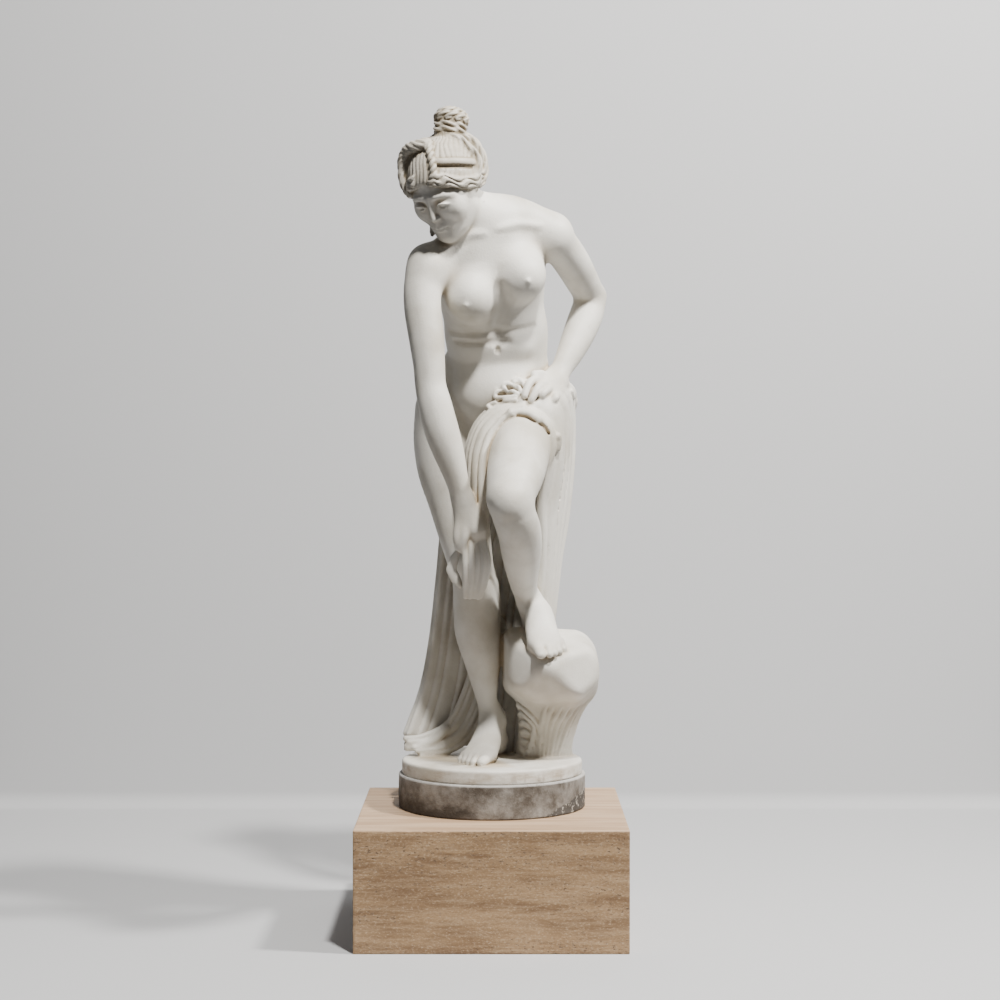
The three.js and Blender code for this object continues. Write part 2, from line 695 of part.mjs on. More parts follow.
// The cloth: gathered under the left hand, over the raised thigh, down both of its sides, and
// across the back to a long fall behind the standing leg.
function cloth(clay) {
  // Down the outer side of the thigh, from the hand.
  const front = [
    [66, -110, 850],
    [92, -122, 820],
    [114, -118, 780],
    [124, -114, 730],
    [118, -100, 684],
    [108, -82, 632],
    [112, -48, 550],
    [110, -8, 450],
    [102, 24, 350],
    [94, 56, 240],
  ];
  const contour = [
    [140, -30, 914],
    [180, 8, 902],
    [190, 42, 862],
    [188, 50, 790],
    [184, 46, 710],
    [174, 44, 610],
    [160, 42, 530],
    [148, 42, 430],
    [138, 46, 340],
    [118, 66, 240],
  ];
  drape(clay, [front, contour], 4, 11, 8, vec(0.55, -0.8, 0.15), { swell: [26, 6] });
  // Down its inner side, and on between the legs.
  const rim = [
    [80, -120, 834],
    [40, -124, 826],
    [8, -134, 798],
    [-10, -148, 748],
    [-14, -160, 690],
    [-12, -160, 632],
    [-8, -128, 570],
    [-2, -70, 500],
    [8, -6, 420],
    [14, 36, 340],
  ];
  const inside = [
    [66, -84, 884],
    [10, -86, 862],
    [-34, -88, 818],
    [-54, -92, 758],
    [-56, -94, 696],
    [-58, -92, 636],
    [-48, -70, 570],
    [-30, -20, 500],
    [-12, 32, 420],
    [-6, 66, 340],
  ];
  drape(clay, [rim, inside], 3, 8, 7, vec(-0.45, -0.85, 0.1), { swell: [6, 6] });
  // The gathered edge, crumpled under the hand.
  clay.add(limb([[60, -84, 872, 18], [92, -76, 888, 20], [130, -40, 896, 20]]), 10);
  for (let i = 0; i < 6; i++) {
    const turn = 3.5 - i * 0.4;
    clay.add(
      limb([
        [72, -92, 880, 10],
        [72 + 32 * Math.cos(turn), -104, 880 + 22 * Math.sin(turn), 11],
        [72 + 62 * Math.cos(turn), -92, 880 + 38 * Math.sin(turn), 7],
      ]),
      5,
    );
  }
  clay.add(limb([[60, -80, 912, 9], [100, -64, 914, 11], [150, -24, 920, 12], [184, 26, 900, 13], [190, 74, 870, 12]]), 7);
  // Pleats spread from the hip: the nearest falls straight, the farthest follows the hem.
  const straight = [
    [186, 52, 870],
    [186, 62, 800],
    [176, 76, 710],
    [156, 86, 600],
    [132, 92, 480],
    [112, 92, 360],
    [94, 92, 240],
    [84, 90, 130],
    [78, 86, 28],
  ];
  const sweeping = [
    [188, 72, 872],
    [150, 136, 816],
    [60, 150, 748],
    [-50, 128, 668],
    [-112, 96, 590],
    [-128, 84, 470],
    [-144, 76, 320],
    [-168, 62, 190],
    [-206, 40, 84],
  ];
  drape(clay, [straight, sweeping], 8, 17, 9, vec(0.1, 1, 0), { swell: [20, 16], sharp: true });
  // The turn of the cloth at the hip joins the front of it to the back.
  drape(clay, [contour, straight], 2, 3, 8, X_AXIS);
  // The near folds on the left of the standing leg, swept along the ground to a rolled end.
  const near = [
    [-10, 96, 420],
    [-30, 92, 300],
    [-60, 84, 190],
    [-100, 66, 110],
    [-160, 46, 78],
    [-202, 34, 74],
  ];
  const low = [
    [30, 104, 330],
    [4, 102, 220],
    [-22, 94, 130],
    [-52, 76, 70],
    [-104, 52, 40],
    [-164, 32, 36],
  ];
  drape(clay, [near, low], 3, 12, 8, vec(-0.2, -1, 0.1), { swell: [0, 4], sharp: true });
  clay.add(limb([[-200, 28, 56, 12], [-163, 30, 60, 12], [-132, 36, 74, 11], [-108, 44, 96, 8]]), 4);
  // The rolled upper hem across the back of the thighs.
  clay.add(
    limb([
      [190, 60, 874, 13],
      [178, 112, 842, 14],
      [112, 154, 786, 15],
      [24, 142, 722, 15],
      [-56, 126, 664, 14],
      [-112, 96, 598, 12],
    ]),
    8,
  );
  // The bunch in the right hand, and a loose corner beside it.
  const bunch = [
    [[-50, -150, 560], [-56, -142, 500], [-50, -128, 450], [-48, -116, 430]],
    [[-14, -152, 560], [-6, -142, 500], [-16, -126, 450], [-26, -114, 430]],
    [[-30, -156, 560], [-30, -148, 500], [-34, -132, 444]],
  ];
  for (const path of bunch) clay.add(limb(path.map((p) => [...p, 14])), 5);
  clay.add(limb([[-70, -150, 540, 8], [-86, -146, 512, 10], [-92, -140, 488, 11], [-76, -138, 454, 6]]), 5);
}

// Marching cubes over the clay: a closed mesh of its zero surface, pointing out.
function surfaceOf(clay) {
  const { field, size, low, step } = clay;
  const jump = [1, size[0], size[0] * size[1]];
  const corner = [0, 1, 1 + jump[1], jump[1]].flatMap((n) => [n]);
  const offset = [...corner, ...corner.map((n) => n + jump[2])];
  const ends = [[0, 1], [1, 2], [3, 2], [0, 3], [4, 5], [5, 6], [7, 6], [4, 7], [0, 4], [1, 5], [2, 6], [3, 7]];
  const places = [];
  const faces = [];
  const made = new Map();
  const vertexOn = (base, edge) => {
    const [a, b] = ends[edge].map((c) => base + offset[c]);
    const axis = jump.indexOf(b - a);
    const key = a * 3 + axis;
    if (made.has(key)) return made.get(key);
    const cell = [a % size[0], Math.floor(a / size[0]) % size[1], Math.floor(a / jump[2])];
    const t = Math.min(0.98, Math.max(0.02, field[a] / (field[a] - field[b])));
    cell[axis] += t;
    places.push(low[0] + cell[0] * step, low[1] + cell[1] * step, low[2] + cell[2] * step);
    made.set(key, places.length / 3 - 1);
    return places.length / 3 - 1;
  };
  for (let k = 0; k < size[2] - 1; k++)
    for (let j = 0; j < size[1] - 1; j++)
      for (let i = 0; i < size[0] - 1; i++) {
        const base = i + j * jump[1] + k * jump[2];
        let kind = 0;
        for (let c = 0; c < 8; c++) if (field[base + offset[c]] < 0) kind |= 1 << c;
        if (!edgeTable[kind]) continue;
        for (let n = kind * 16; triTable[n] !== -1; n += 3)
          faces.push(
            vertexOn(base, triTable[n]),
            vertexOn(base, triTable[n + 2]),
            vertexOn(base, triTable[n + 1]),
          );
      }
  return { places: Float64Array.from(places), faces: Int32Array.from(faces) };
}

// Brings a closed mesh down to a number of triangles. It folds up the edge that matters least,
// again and again: each vertex carries the sum of squared distances to the planes it came from,
// and care(x, y, z) says how much they weigh at a place.
function thinned({ places, faces }, wanted, care) {
  const vertices = places.length / 3;
  const around = Array.from({ length: vertices }, () => []);
  const quadric = new Float64Array(vertices * 10);
  const age = new Int32Array(vertices);
  const alive = new Uint8Array(faces.length / 3).fill(1);
  const point = (v) => [places[3 * v], places[3 * v + 1], places[3 * v + 2]];
  const minus = (p, q) => [p[0] - q[0], p[1] - q[1], p[2] - q[2]];
  const cross = (p, q) => [
    p[1] * q[2] - p[2] * q[1],
    p[2] * q[0] - p[0] * q[2],
    p[0] * q[1] - p[1] * q[0],
  ];
  const dot = (p, q) => p[0] * q[0] + p[1] * q[1] + p[2] * q[2];
  for (let f = 0; f < faces.length; f += 3) {
    const [a, b, c] = [faces[f], faces[f + 1], faces[f + 2]];
    const normal = cross(minus(point(b), point(a)), minus(point(c), point(a)));
    const area = Math.hypot(...normal);
    const weight = area * care(...point(a));
    const [nx, ny, nz] = normal.map((v) => v / (area || 1));
    const d = -dot([nx, ny, nz], point(a));
    const terms = [nx * nx, nx * ny, nx * nz, nx * d, ny * ny, ny * nz, ny * d, nz * nz, nz * d, d * d];
    for (const v of [a, b, c]) {
      around[v].push(f);
      for (let n = 0; n < 10; n++) quadric[10 * v + n] += terms[n] * weight;
    }
  }
  const errorAt = (q, [x, y, z]) =>
    q[0] * x * x + 2 * q[1] * x * y + 2 * q[2] * x * z + 2 * q[3] * x + q[4] * y * y +
    2 * q[5] * y * z + 2 * q[6] * y + q[7] * z * z + 2 * q[8] * z + q[9];
  // The best place for the vertex that an edge folds up into.
  const best = (a, b) => {
    const q = new Float64Array(10);
    for (let n = 0; n < 10; n++) q[n] = quadric[10 * a + n] + quadric[10 * b + n];
    const [p, r] = [point(a), point(b)];
    const middle = [(p[0] + r[0]) / 2, (p[1] + r[1]) / 2, (p[2] + r[2]) / 2];
    const rows = [[q[0], q[1], q[2]], [q[1], q[4], q[5]], [q[2], q[5], q[7]]];
    const solved = [cross(rows[1], rows[2]), cross(rows[2], rows[0]), cross(rows[0], rows[1])];
    const det = dot(rows[0], solved[0]);
    let place = middle;
    if (Math.abs(det) > 1e-3 * (q[0] + q[4] + q[7]) ** 3) {
      const right = [-q[3], -q[6], -q[8]];
      place = [0, 1, 2].map((i) => (solved[0][i] * right[0] + solved[1][i] * right[1] + solved[2][i] * right[2]) / det);
      if (Math.hypot(...minus(place, middle)) > 2 * Math.hypot(...minus(p, r))) place = middle;
    }
    return { place, cost: errorAt(q, place) + 1e-3 * dot(minus(p, r), minus(p, r)) };
  };
  // A heap of edges, the least costly on top.
  const heap = [];
  const swap = (i, j) => {
    [heap[i], heap[j]] = [heap[j], heap[i]];
  };
  const push = (a, b) => {
    const found = best(a, b);
    heap.push({ a, b, ...found, stamp: age[a] + age[b] });
    let i = heap.length - 1;
    while (i > 0 && heap[(i - 1) >> 1].cost > heap[i].cost) {
      swap(i, (i - 1) >> 1);
      i = (i - 1) >> 1;
    }
  };
  const pop = () => {
    swap(0, heap.length - 1);
    const top = heap.pop();
    let i = 0;
    for (;;) {
      let least = i;
      for (const j of [2 * i + 1, 2 * i + 2])
        if (j < heap.length && heap[j].cost < heap[least].cost) least = j;
      if (least === i) return top;
      swap(i, least);
      i = least;
    }
  };
  const neighbours = (v) => {
    const found = new Set();
    for (const f of around[v]) for (let n = 0; n < 3; n++) found.add(faces[f + n]);
    found.delete(v);
    return found;
  };
  // Whether moving vertex v to a place keeps its faces, those with vertex other apart, unturned.
  const keepsFaces = (v, other, place) =>
    around[v].every((f) => {
      const corners = [faces[f], faces[f + 1], faces[f + 2]];
      if (corners.includes(other)) return true;
      const [a, b, c] = corners.map(point);
      const [d, e, g] = corners.map((n) => (n === v ? place : point(n)));
      const before = cross(minus(b, a), minus(c, a));
      const after = cross(minus(e, d), minus(g, d));
      return dot(before, after) > 0.3 * Math.hypot(...before) * Math.hypot(...after) && Math.hypot(...after) > 0.05;
    });
  for (let v = 0; v < vertices; v++) for (const w of neighbours(v)) if (v < w) push(v, w);
  let left = faces.length / 3;
  while (left > wanted && heap.length) {
    const { a, b, place, stamp } = pop();
    if (age[a] < 0 || age[b] < 0 || age[a] + age[b] !== stamp) continue;
    const ring = neighbours(b);
    const shared = [...neighbours(a)].filter((v) => ring.has(v));
    if (shared.length !== 2) continue;
    if (!keepsFaces(a, b, place) || !keepsFaces(b, a, place)) continue;
    places.set(place, 3 * a);
    for (let n = 0; n < 10; n++) quadric[10 * a + n] += quadric[10 * b + n];
    for (const f of around[b]) {
      const corners = [faces[f], faces[f + 1], faces[f + 2]];
      if (corners.includes(a)) {
        alive[f / 3] = 0;
        left--;
        for (const v of corners) if (v !== b) around[v] = around[v].filter((g) => g !== f);
      } else {
        faces[f + corners.indexOf(b)] = a;
        around[a].push(f);
      }
    }
    around[b] = [];
    age[b] = -1e9;
    age[a]++;
    for (const v of neighbours(a)) push(a, v);
  }
  return { places, faces: faces.filter((_, n) => alive[Math.floor(n / 3)]) };
}

// A three.js geometry as a manifold-3d solid, and back.
const wasm = await Module();
wasm.setup();

function solidOf(geometry) {
  const bare = geometry.clone();
  for (const name of ["normal", "uv"]) bare.deleteAttribute(name);
  const merged = mergeVertices(bare, 1e-3);
  return new wasm.Manifold(
    new wasm.Mesh({
      numProp: 3,
      vertProperties: merged.attributes.position.array,
      triVerts: new Uint32Array(merged.index.array),
    }),
  );
}

function geometryOf(solid) {
  const { vertProperties, triVerts } = solid.getMesh();
  const geometry = new THREE.BufferGeometry();
  geometry.setAttribute("position", new THREE.BufferAttribute(vertProperties, 3));
  geometry.setIndex(new THREE.BufferAttribute(triVerts, 1));
  geometry.computeVertexNormals();
  return geometry;
}

// A turned disc standing on z = 0, with its top and bottom edges broken by arris.
function disc(radius, height, arris, bottomArris = arris) {
  const profile = [
    [0, 0],
    [radius - bottomArris, 0],
    [radius, bottomArris],
    [radius, height - arris],
    [radius - 0.3 * arris, height - 0.3 * arris],
    [radius - arris, height],
    [0, height],
  ].map(([r, z]) => new THREE.Vector2(r, z));
  return new THREE.LatheGeometry(profile, ROUND_SIDES).rotateX(Math.PI / 2);
}

function marbleGeometry() {
  // The carving starts inside the ground.
  const clay = new Clay([-232, -352, 7], [292, 236, 1560], GRID_STEP);
  trunk(clay);
  legs(clay);
  arms(clay);
  boulder(clay);
  foot(clay, new Frame(vec(12, 78, 30), vec(-0.28, -1, 0), vec(0, 0, 1)), 1);
  foot(clay, new Frame(vec(92, 30, 338), vec(0.2, -0.945, -0.255), vec(0.054, -0.255, 0.966)), -1);
  cloth(clay);
  hands(clay);
  head(clay);
  clay.close();
  // The head and its hair are carved more finely than the rest.
  const care = (x, y, z) => (z > 1225 && x < -10 ? HEAD_CARE : 1);
  const carved = thinned(surfaceOf(clay), CARVED_TRIANGLES, care);
  const geometry = new THREE.BufferGeometry();
  geometry.setAttribute("position", new THREE.BufferAttribute(Float32Array.from(carved.places), 3));
  geometry.setIndex(new THREE.BufferAttribute(Uint32Array.from(carved.faces), 1));
  geometry.scale(SHARE, SHARE, SHARE);
  const parts = solidOf(geometry).decompose();
  const figure = parts.reduce((a, b) => (a.volume() > b.volume() ? a : b));
  return geometryOf(figure.add(solidOf(disc(GROUND_RADIUS, GROUND_THICKNESS, GROUND_ARRIS, 1.5))));
}

// The travertine block: a square outline raised, with its arrises broken.
function blockGeometry() {
  const [w, d] = [BLOCK_WIDTH / 2 - BLOCK_ARRIS, BLOCK_DEPTH / 2 - BLOCK_ARRIS];
  const outline = new THREE.Shape([[-w, -d], [w, -d], [w, d], [-w, d]].map((p) => new THREE.Vector2(...p)));
  return new THREE.ExtrudeGeometry(outline, {
    depth: BLOCK_HEIGHT - 2 * BLOCK_ARRIS,
    bevelThickness: BLOCK_ARRIS,
    bevelSize: BLOCK_ARRIS,
    bevelSegments: 1,
  }).translate(0, 0, BLOCK_ARRIS);
}

function piece(name, geometry, colour, roughness, z) {
  const mesh = new THREE.Mesh(
    geometry,
    new THREE.MeshStandardMaterial({ color: colour, roughness, metalness: 0 }),
  );
  mesh.name = name;
  mesh.position.z = z;
  return mesh;
}

const statue = new THREE.Group();
statue.add(
  piece("marble_figure", marbleGeometry(), "#d8d2c6", 0.55, BLOCK_HEIGHT + SOCLE_HEIGHT),
  piece("grey_socle", disc(SOCLE_RADIUS, SOCLE_HEIGHT, SOCLE_ARRIS), "#7d7569", 0.85, BLOCK_HEIGHT),
);
for (const mesh of statue.children) mesh.position.y = SOCLE_SETBACK;
statue.add(piece("travertine_block", blockGeometry(), "#b49b7c", 0.7, 0));

export default statue;
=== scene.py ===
import json
import math

import bmesh
import bpy
import numpy as np
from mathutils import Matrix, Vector

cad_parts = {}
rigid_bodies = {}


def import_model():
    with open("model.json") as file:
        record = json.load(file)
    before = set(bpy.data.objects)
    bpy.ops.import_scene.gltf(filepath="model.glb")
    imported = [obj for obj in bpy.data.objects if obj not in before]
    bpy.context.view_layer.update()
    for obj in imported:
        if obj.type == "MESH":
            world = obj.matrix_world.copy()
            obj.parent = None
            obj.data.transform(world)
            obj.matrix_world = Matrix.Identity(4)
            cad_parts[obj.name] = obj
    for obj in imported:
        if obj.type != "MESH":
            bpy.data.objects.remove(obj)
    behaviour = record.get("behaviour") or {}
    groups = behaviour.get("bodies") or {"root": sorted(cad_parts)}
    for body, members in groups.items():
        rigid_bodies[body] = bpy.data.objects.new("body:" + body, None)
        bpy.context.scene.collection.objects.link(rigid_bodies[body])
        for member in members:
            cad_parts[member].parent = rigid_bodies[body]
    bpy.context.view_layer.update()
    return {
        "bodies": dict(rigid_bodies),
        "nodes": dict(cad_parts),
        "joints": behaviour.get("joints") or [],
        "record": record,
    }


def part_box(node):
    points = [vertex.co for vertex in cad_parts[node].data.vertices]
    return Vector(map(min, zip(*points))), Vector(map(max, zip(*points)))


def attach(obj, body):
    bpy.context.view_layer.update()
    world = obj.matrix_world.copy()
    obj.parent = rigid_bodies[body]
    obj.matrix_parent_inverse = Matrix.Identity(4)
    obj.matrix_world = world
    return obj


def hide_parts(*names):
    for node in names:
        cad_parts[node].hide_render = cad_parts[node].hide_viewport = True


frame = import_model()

# A marble bather on a grey socle and a travertine block. The row frame is in metres. The marble
# is carved in millimetres, in a frame whose origin is under the middle of its round ground.

SOCLE_LOW, SOCLE_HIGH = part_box("grey_socle")
BLOCK_LOW, BLOCK_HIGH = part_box("travertine_block")
MARBLE_PLACE = np.array(
    [(SOCLE_LOW.x + SOCLE_HIGH.x) / 2, (SOCLE_LOW.y + SOCLE_HIGH.y) / 2, SOCLE_HIGH.z]
)
GROUND_RADIUS = 212
GROUND_THICKNESS = 33
GROUND_ROUNDING = 7
GRID_STEP = 3.0
HEAD_STEP = 2.0
MARBLE_TRIANGLES = 196000
MM = 0.001
X_AXIS = np.array([1.0, 0.0, 0.0])
WORLD = np.eye(3)
FAR = 1e3
SMALLEST_REACH = 12
SHEET_SOFTNESS = 4.0
SINES = 14


def unit(vector):
    """The vector over its length, along the last axis."""
    vector = np.asarray(vector, float)
    return vector / np.maximum(np.linalg.norm(vector, axis=-1, keepdims=True), 1e-9)


def melt(a, b, soft):
    """Smooth least of a and b: min(a, b) - h^2 soft / 4, with h = 1 - |a - b| / soft from 0 up."""
    h = np.maximum(1 - np.abs(a - b) / soft, 0)
    return np.minimum(a, b) - h * h * (soft / 4)


def curve(points, t):
    """Catmull-Rom curve through the points at t from 0 to 1. Between b and c, with neighbours a and d,
    it is (2b + (c - a) f + (2a - 5b + 4c - d) f^2 + (3b - a - 3c + d) f^3) / 2."""
    p = np.asarray(points, float)
    p = np.vstack([2 * p[0] - p[1], p, 2 * p[-1] - p[-2]])
    u = np.clip(np.asarray(t, float), 0, 1) * (len(p) - 3)
    i = np.minimum(u.astype(int), len(p) - 4)
    f = (u - i)[:, None]
    a, b, c, d = p[i], p[i + 1], p[i + 2], p[i + 3]
    return (2 * b + (c - a) * f + (2 * a - 5 * b + 4 * c - d) * f**2 + (3 * b - a - 3 * c + d) * f**3) / 2


class Bead:
    """A stretched ball, or two of them and the hull between; sizes are [half width, half depth]."""

    def __init__(self, start, end, start_size, end_size, across):
        self.start = np.asarray(start, float)
        span = np.asarray(end, float) - self.start
        self.length = max(float(np.linalg.norm(span)), 1e-3)
        self.along = span / self.length
        if abs(np.dot(unit(across), self.along)) > 0.995:
            across = np.roll(unit(across), 1)
        self.side = unit(across - self.along * np.dot(across, self.along))
        self.through = np.cross(self.along, self.side)
        self.wide = float(start_size[0]), float(end_size[0])
        self.deep = float(start_size[1]), float(end_size[1])
        self.round = self.wide == self.deep
        most = max(self.wide), max(self.deep)
        reach = np.sqrt(
            (self.side * most[0]) ** 2
            + (self.through * most[1]) ** 2
            + (self.along * (most[0] + most[1]) / 2) ** 2
        )
        self.low = np.minimum(start, end) - reach
        self.high = np.maximum(start, end) + reach

    def distance(self, x, y, z):
        """|v| - r for a round bead, else k0 (k0 - 1) / k1, v from the nearest point of the middle line."""
        s, q, along = (
            (x - self.start[0]) * axis[0] + (y - self.start[1]) * axis[1] + (z - self.start[2]) * axis[2]
            for axis in (self.side, self.through, self.along)
        )
        t = np.clip(along / self.length, 0, 1)
        w = along - t * self.length
        wide = self.wide[0] + (self.wide[1] - self.wide[0]) * t
        if self.round:
            return np.sqrt(s * s + q * q + w * w) - wide
        deep = self.deep[0] + (self.deep[1] - self.deep[0]) * t
        return stretched(s, q, w, wide, deep, (wide + deep) / 2)


def stretched(s, q, w, wide, deep, tall):
    """Distance to an ellipsoid, k0 (k0 - 1) / k1, with k0 = |v / r| and k1 = |v / r^2|."""
    s, q, w = s / wide, q / deep, w / tall
    k0 = np.sqrt(s * s + q * q + w * w)
    k1 = np.sqrt((s / wide) ** 2 + (q / deep) ** 2 + (w / tall) ** 2)
    return k0 * (k0 - 1) / np.maximum(k1, 1e-6)


class Ball:
    """A stretched ball with its half-lengths along three axes."""

    def __init__(self, centre, radii, axes=WORLD):
        self.centre = np.asarray(centre, float)
        self.radii = [float(r) for r in radii]
        self.axes = axes
        reach = np.sqrt(sum((np.asarray(a) * r) ** 2 for a, r in zip(axes, self.radii)))
        self.low = self.centre - reach
        self.high = self.centre + reach

    def distance(self, x, y, z):
        """k0 (k0 - 1) / k1 in the ball's own axes."""
        c = self.centre
        s, q, w = ((x - c[0]) * a[0] + (y - c[1]) * a[1] + (z - c[2]) * a[2] for a in self.axes)
        return stretched(s, q, w, *self.radii)


class Boulder:
    """A stone with flat faces, each [normal x, y, z, and a point on it], and rounded edges."""

    def __init__(self, faces, low, high, rounding):
        faces = np.asarray(faces, float)
        self.normals = unit(faces[:, :3])
        self.offsets = np.sum(self.normals * faces[:, 3:], axis=1)
        self.low = np.asarray(low, float)
        self.high = np.asarray(high, float)
        self.rounding = rounding

    def distance(self, x, y, z):
        """Smooth greatest of n . p - c over the faces."""
        d = np.float32(-FAR)
        for (a, b, c), offset in zip(self.normals, self.offsets):
            d = -melt(-d, offset - a * x - b * y - c * z, self.rounding)
        return d


class Disc:
    """A standing disc with its edges rounded."""

    def __init__(self, radius, low, high, rounding):
        self.radius = radius
        self.middle = (low + high) / 2
        self.half = (high - low) / 2
        self.rounding = rounding
        self.low = np.array([-radius, -radius, low], float)
        self.high = np.array([radius, radius, high], float)

    def distance(self, x, y, z):
        """|max(q, 0)| + min(max(qx, qz), 0) - rounding, with q = (r - R, |z| - H) + rounding."""
        q = np.sqrt(x * x + y * y) - self.radius + self.rounding
        h = np.abs(z - self.middle) - self.half + self.rounding
        outer = np.sqrt(np.maximum(q, 0) ** 2 + np.maximum(h, 0) ** 2)
        return outer + np.minimum(np.maximum(q, h), 0) - self.rounding


class Clay:
    """The distance to the carved surface at each crossing of three sets of grid lines, negative inside."""

    def __init__(self, x, y, z):
        self.lines = [line.astype(np.float32) for line in (x, y, z)]
        self.field = np.full((len(z), len(y), len(x)), 99, np.float32)

    def window(self, low, high):
        """Slices of the field, z then y then x, that hold a box."""
        cut = []
        for lines, a, b in zip(self.lines, low, high):
            first, last = np.searchsorted(lines, (a, b))
            cut.append(slice(int(first), int(last)))
        return cut[::-1]

    def form(self, shapes, reach):
        """Least distance to the shapes, and far away beyond their reach."""
        low = np.min([s.low for s in shapes], axis=0) - reach
        high = np.max([s.high for s in shapes], axis=0) + reach
        whole = self.window(low, high)
        form = np.full([w.stop - w.start for w in whole], FAR, np.float32)
        for shape in shapes:
            part = self.window(shape.low - reach, shape.high + reach)
            inner = tuple(slice(p.start - w.start, p.stop - w.start) for p, w in zip(part, whole))
            z, y, x = (lines[p] for lines, p in zip(self.lines[::-1], part))
            if min(len(x), len(y), len(z)) == 0:
                continue
            d = shape.distance(x[None, None, :], y[None, :, None], z[:, None, None])
            form[inner] = np.minimum(form[inner], d)
        return tuple(whole), form

    def add(self, shapes, soft, reach=None):
        """Melts shapes on to the clay."""
        whole, form = self.form(shapes, max(soft, SMALLEST_REACH) if reach is None else reach)
        self.field[whole] = melt(self.field[whole], form, soft)

    def cut(self, shapes, soft):
        """Takes shapes out of the clay, with softened edges."""
        whole, form = self.form(shapes, max(soft, SMALLEST_REACH))
        self.field[whole] = -melt(-self.field[whole], form, soft)

    def at(self, points):
        """Distance at any points, linear between the grid points around them."""
        points = np.atleast_2d(points)
        cells, parts = [], []
        for axis, lines in enumerate(self.lines):
            place = np.interp(points[:, axis], lines, np.arange(len(lines)))
            cell = np.minimum(place.astype(int), len(lines) - 2)
            cells.append(cell)
            parts.append(place - cell)
        (i, j, k), (u, v, w) = cells, parts
        f = self.field

        def row(dj, dk):
            return f[k + dk, j + dj, i] * (1 - u) + f[k + dk, j + dj, i + 1] * u

        below = row(0, 0) * (1 - v) + row(1, 0) * v
        above = row(0, 1) * (1 - v) + row(1, 1) * v
        return below * (1 - w) + above * w

    def slope(self, points, reach=5.0):
        """Unit direction of growing distance, from central differences."""
        growth = [self.at(points + reach * a) - self.at(points - reach * a) for a in WORLD]
        return unit(np.stack(growth, axis=-1))

    def lift(self, points, clear):
        """Moves points that are less than clear outside the surface straight out, until they are."""
        points = np.array(points, float)
        for _ in range(8):
            short = clear - self.at(points)
            step = np.where(short < 0.3, 0, np.minimum(short, 20))
            points += self.slope(points, 6.0) * step[:, None]
        return points

    def lay(self, points, clear, most=14.0):
        """Moves points along the slope, in or out, to stand clear of the surface."""
        points = np.array(points, float)
        for _ in range(6):
            short = np.clip(clear - self.at(points), -most, most)
            points += self.slope(points) * (0.9 * short)[:, None]
        return points


def chain(points, sizes, across=X_AXIS):
    """Beads from point to point; sizes are one half width, a row of them or rows of [width, depth]."""
    points = np.asarray(points, float)
    sizes = np.asarray(sizes, float)
    if sizes.ndim == 0:
        sizes = np.full(len(points), float(sizes))
    if sizes.ndim == 1:
        sizes = np.stack([sizes, sizes], axis=1)
    ends = zip(points[:-1], points[1:], sizes[:-1], sizes[1:])
    return [Bead(*pair, across) for pair in ends]


def limb(stations, across=X_AXIS, steps=4):
    """Beads along a smooth curve through stations [x, y, z, half width, half depth]."""
    rows = np.array([list(s) + [s[3]] if len(s) == 4 else s for s in stations], float)
    path = curve(rows, np.linspace(0, 1, (len(rows) - 1) * steps + 1))
    return chain(path[:, :3], np.maximum(path[:, 3:], 0.4), np.asarray(across, float))


def ball(x, y, z, *radii):
    """A ball at a place, with one radius or three half-lengths along x, y and z."""
    return [Ball((x, y, z), radii if len(radii) == 3 else radii * 3)]


def strand(clay, stations, radius, clear, steps=4, taper=0.5):
    """A round ridge laid on the clay through stations [x, y, z], thinner by taper at both ends."""
    t = np.linspace(0, 1, (len(stations) - 1) * steps + 1)
    laid = clay.lay(curve(stations, t), clear)
    return chain(laid, radius * (1 - taper * (2 * t - 1) ** 4))


def groove(clay, stations, radius, soft, depth=0.0, steps=4, taper=0.6):
    """Cuts a soft line into the surface through stations [x, y, z]."""
    clay.cut(strand(clay, stations, radius, -depth, steps, taper), soft)


class Frame:
    """A frame of its own for the head, a hand or a foot; its forward is -y."""

    def __init__(self, place, forward, up):
        self.place = np.asarray(place, float)
        self.y = -unit(forward)
        self.x = unit(np.cross(self.y, up))
        self.z = np.cross(self.x, self.y)
        self.axes = [self.x, self.y, self.z]

    def at(self, x, y, z):
        """The part's own place of a point that is given in this frame."""
        return self.place + self.x * x + self.y * y + self.z * z

    def limb(self, stations, steps=3):
        """A limb whose stations are given in this frame."""
        return limb([[*self.at(*s[:3]), *s[3:]] for s in stations], self.x, steps)

    def ball(self, x, y, z, *radii):
        """A ball whose place and half-lengths are given in this frame."""
        return [Ball(self.at(x, y, z), radii, self.axes)]


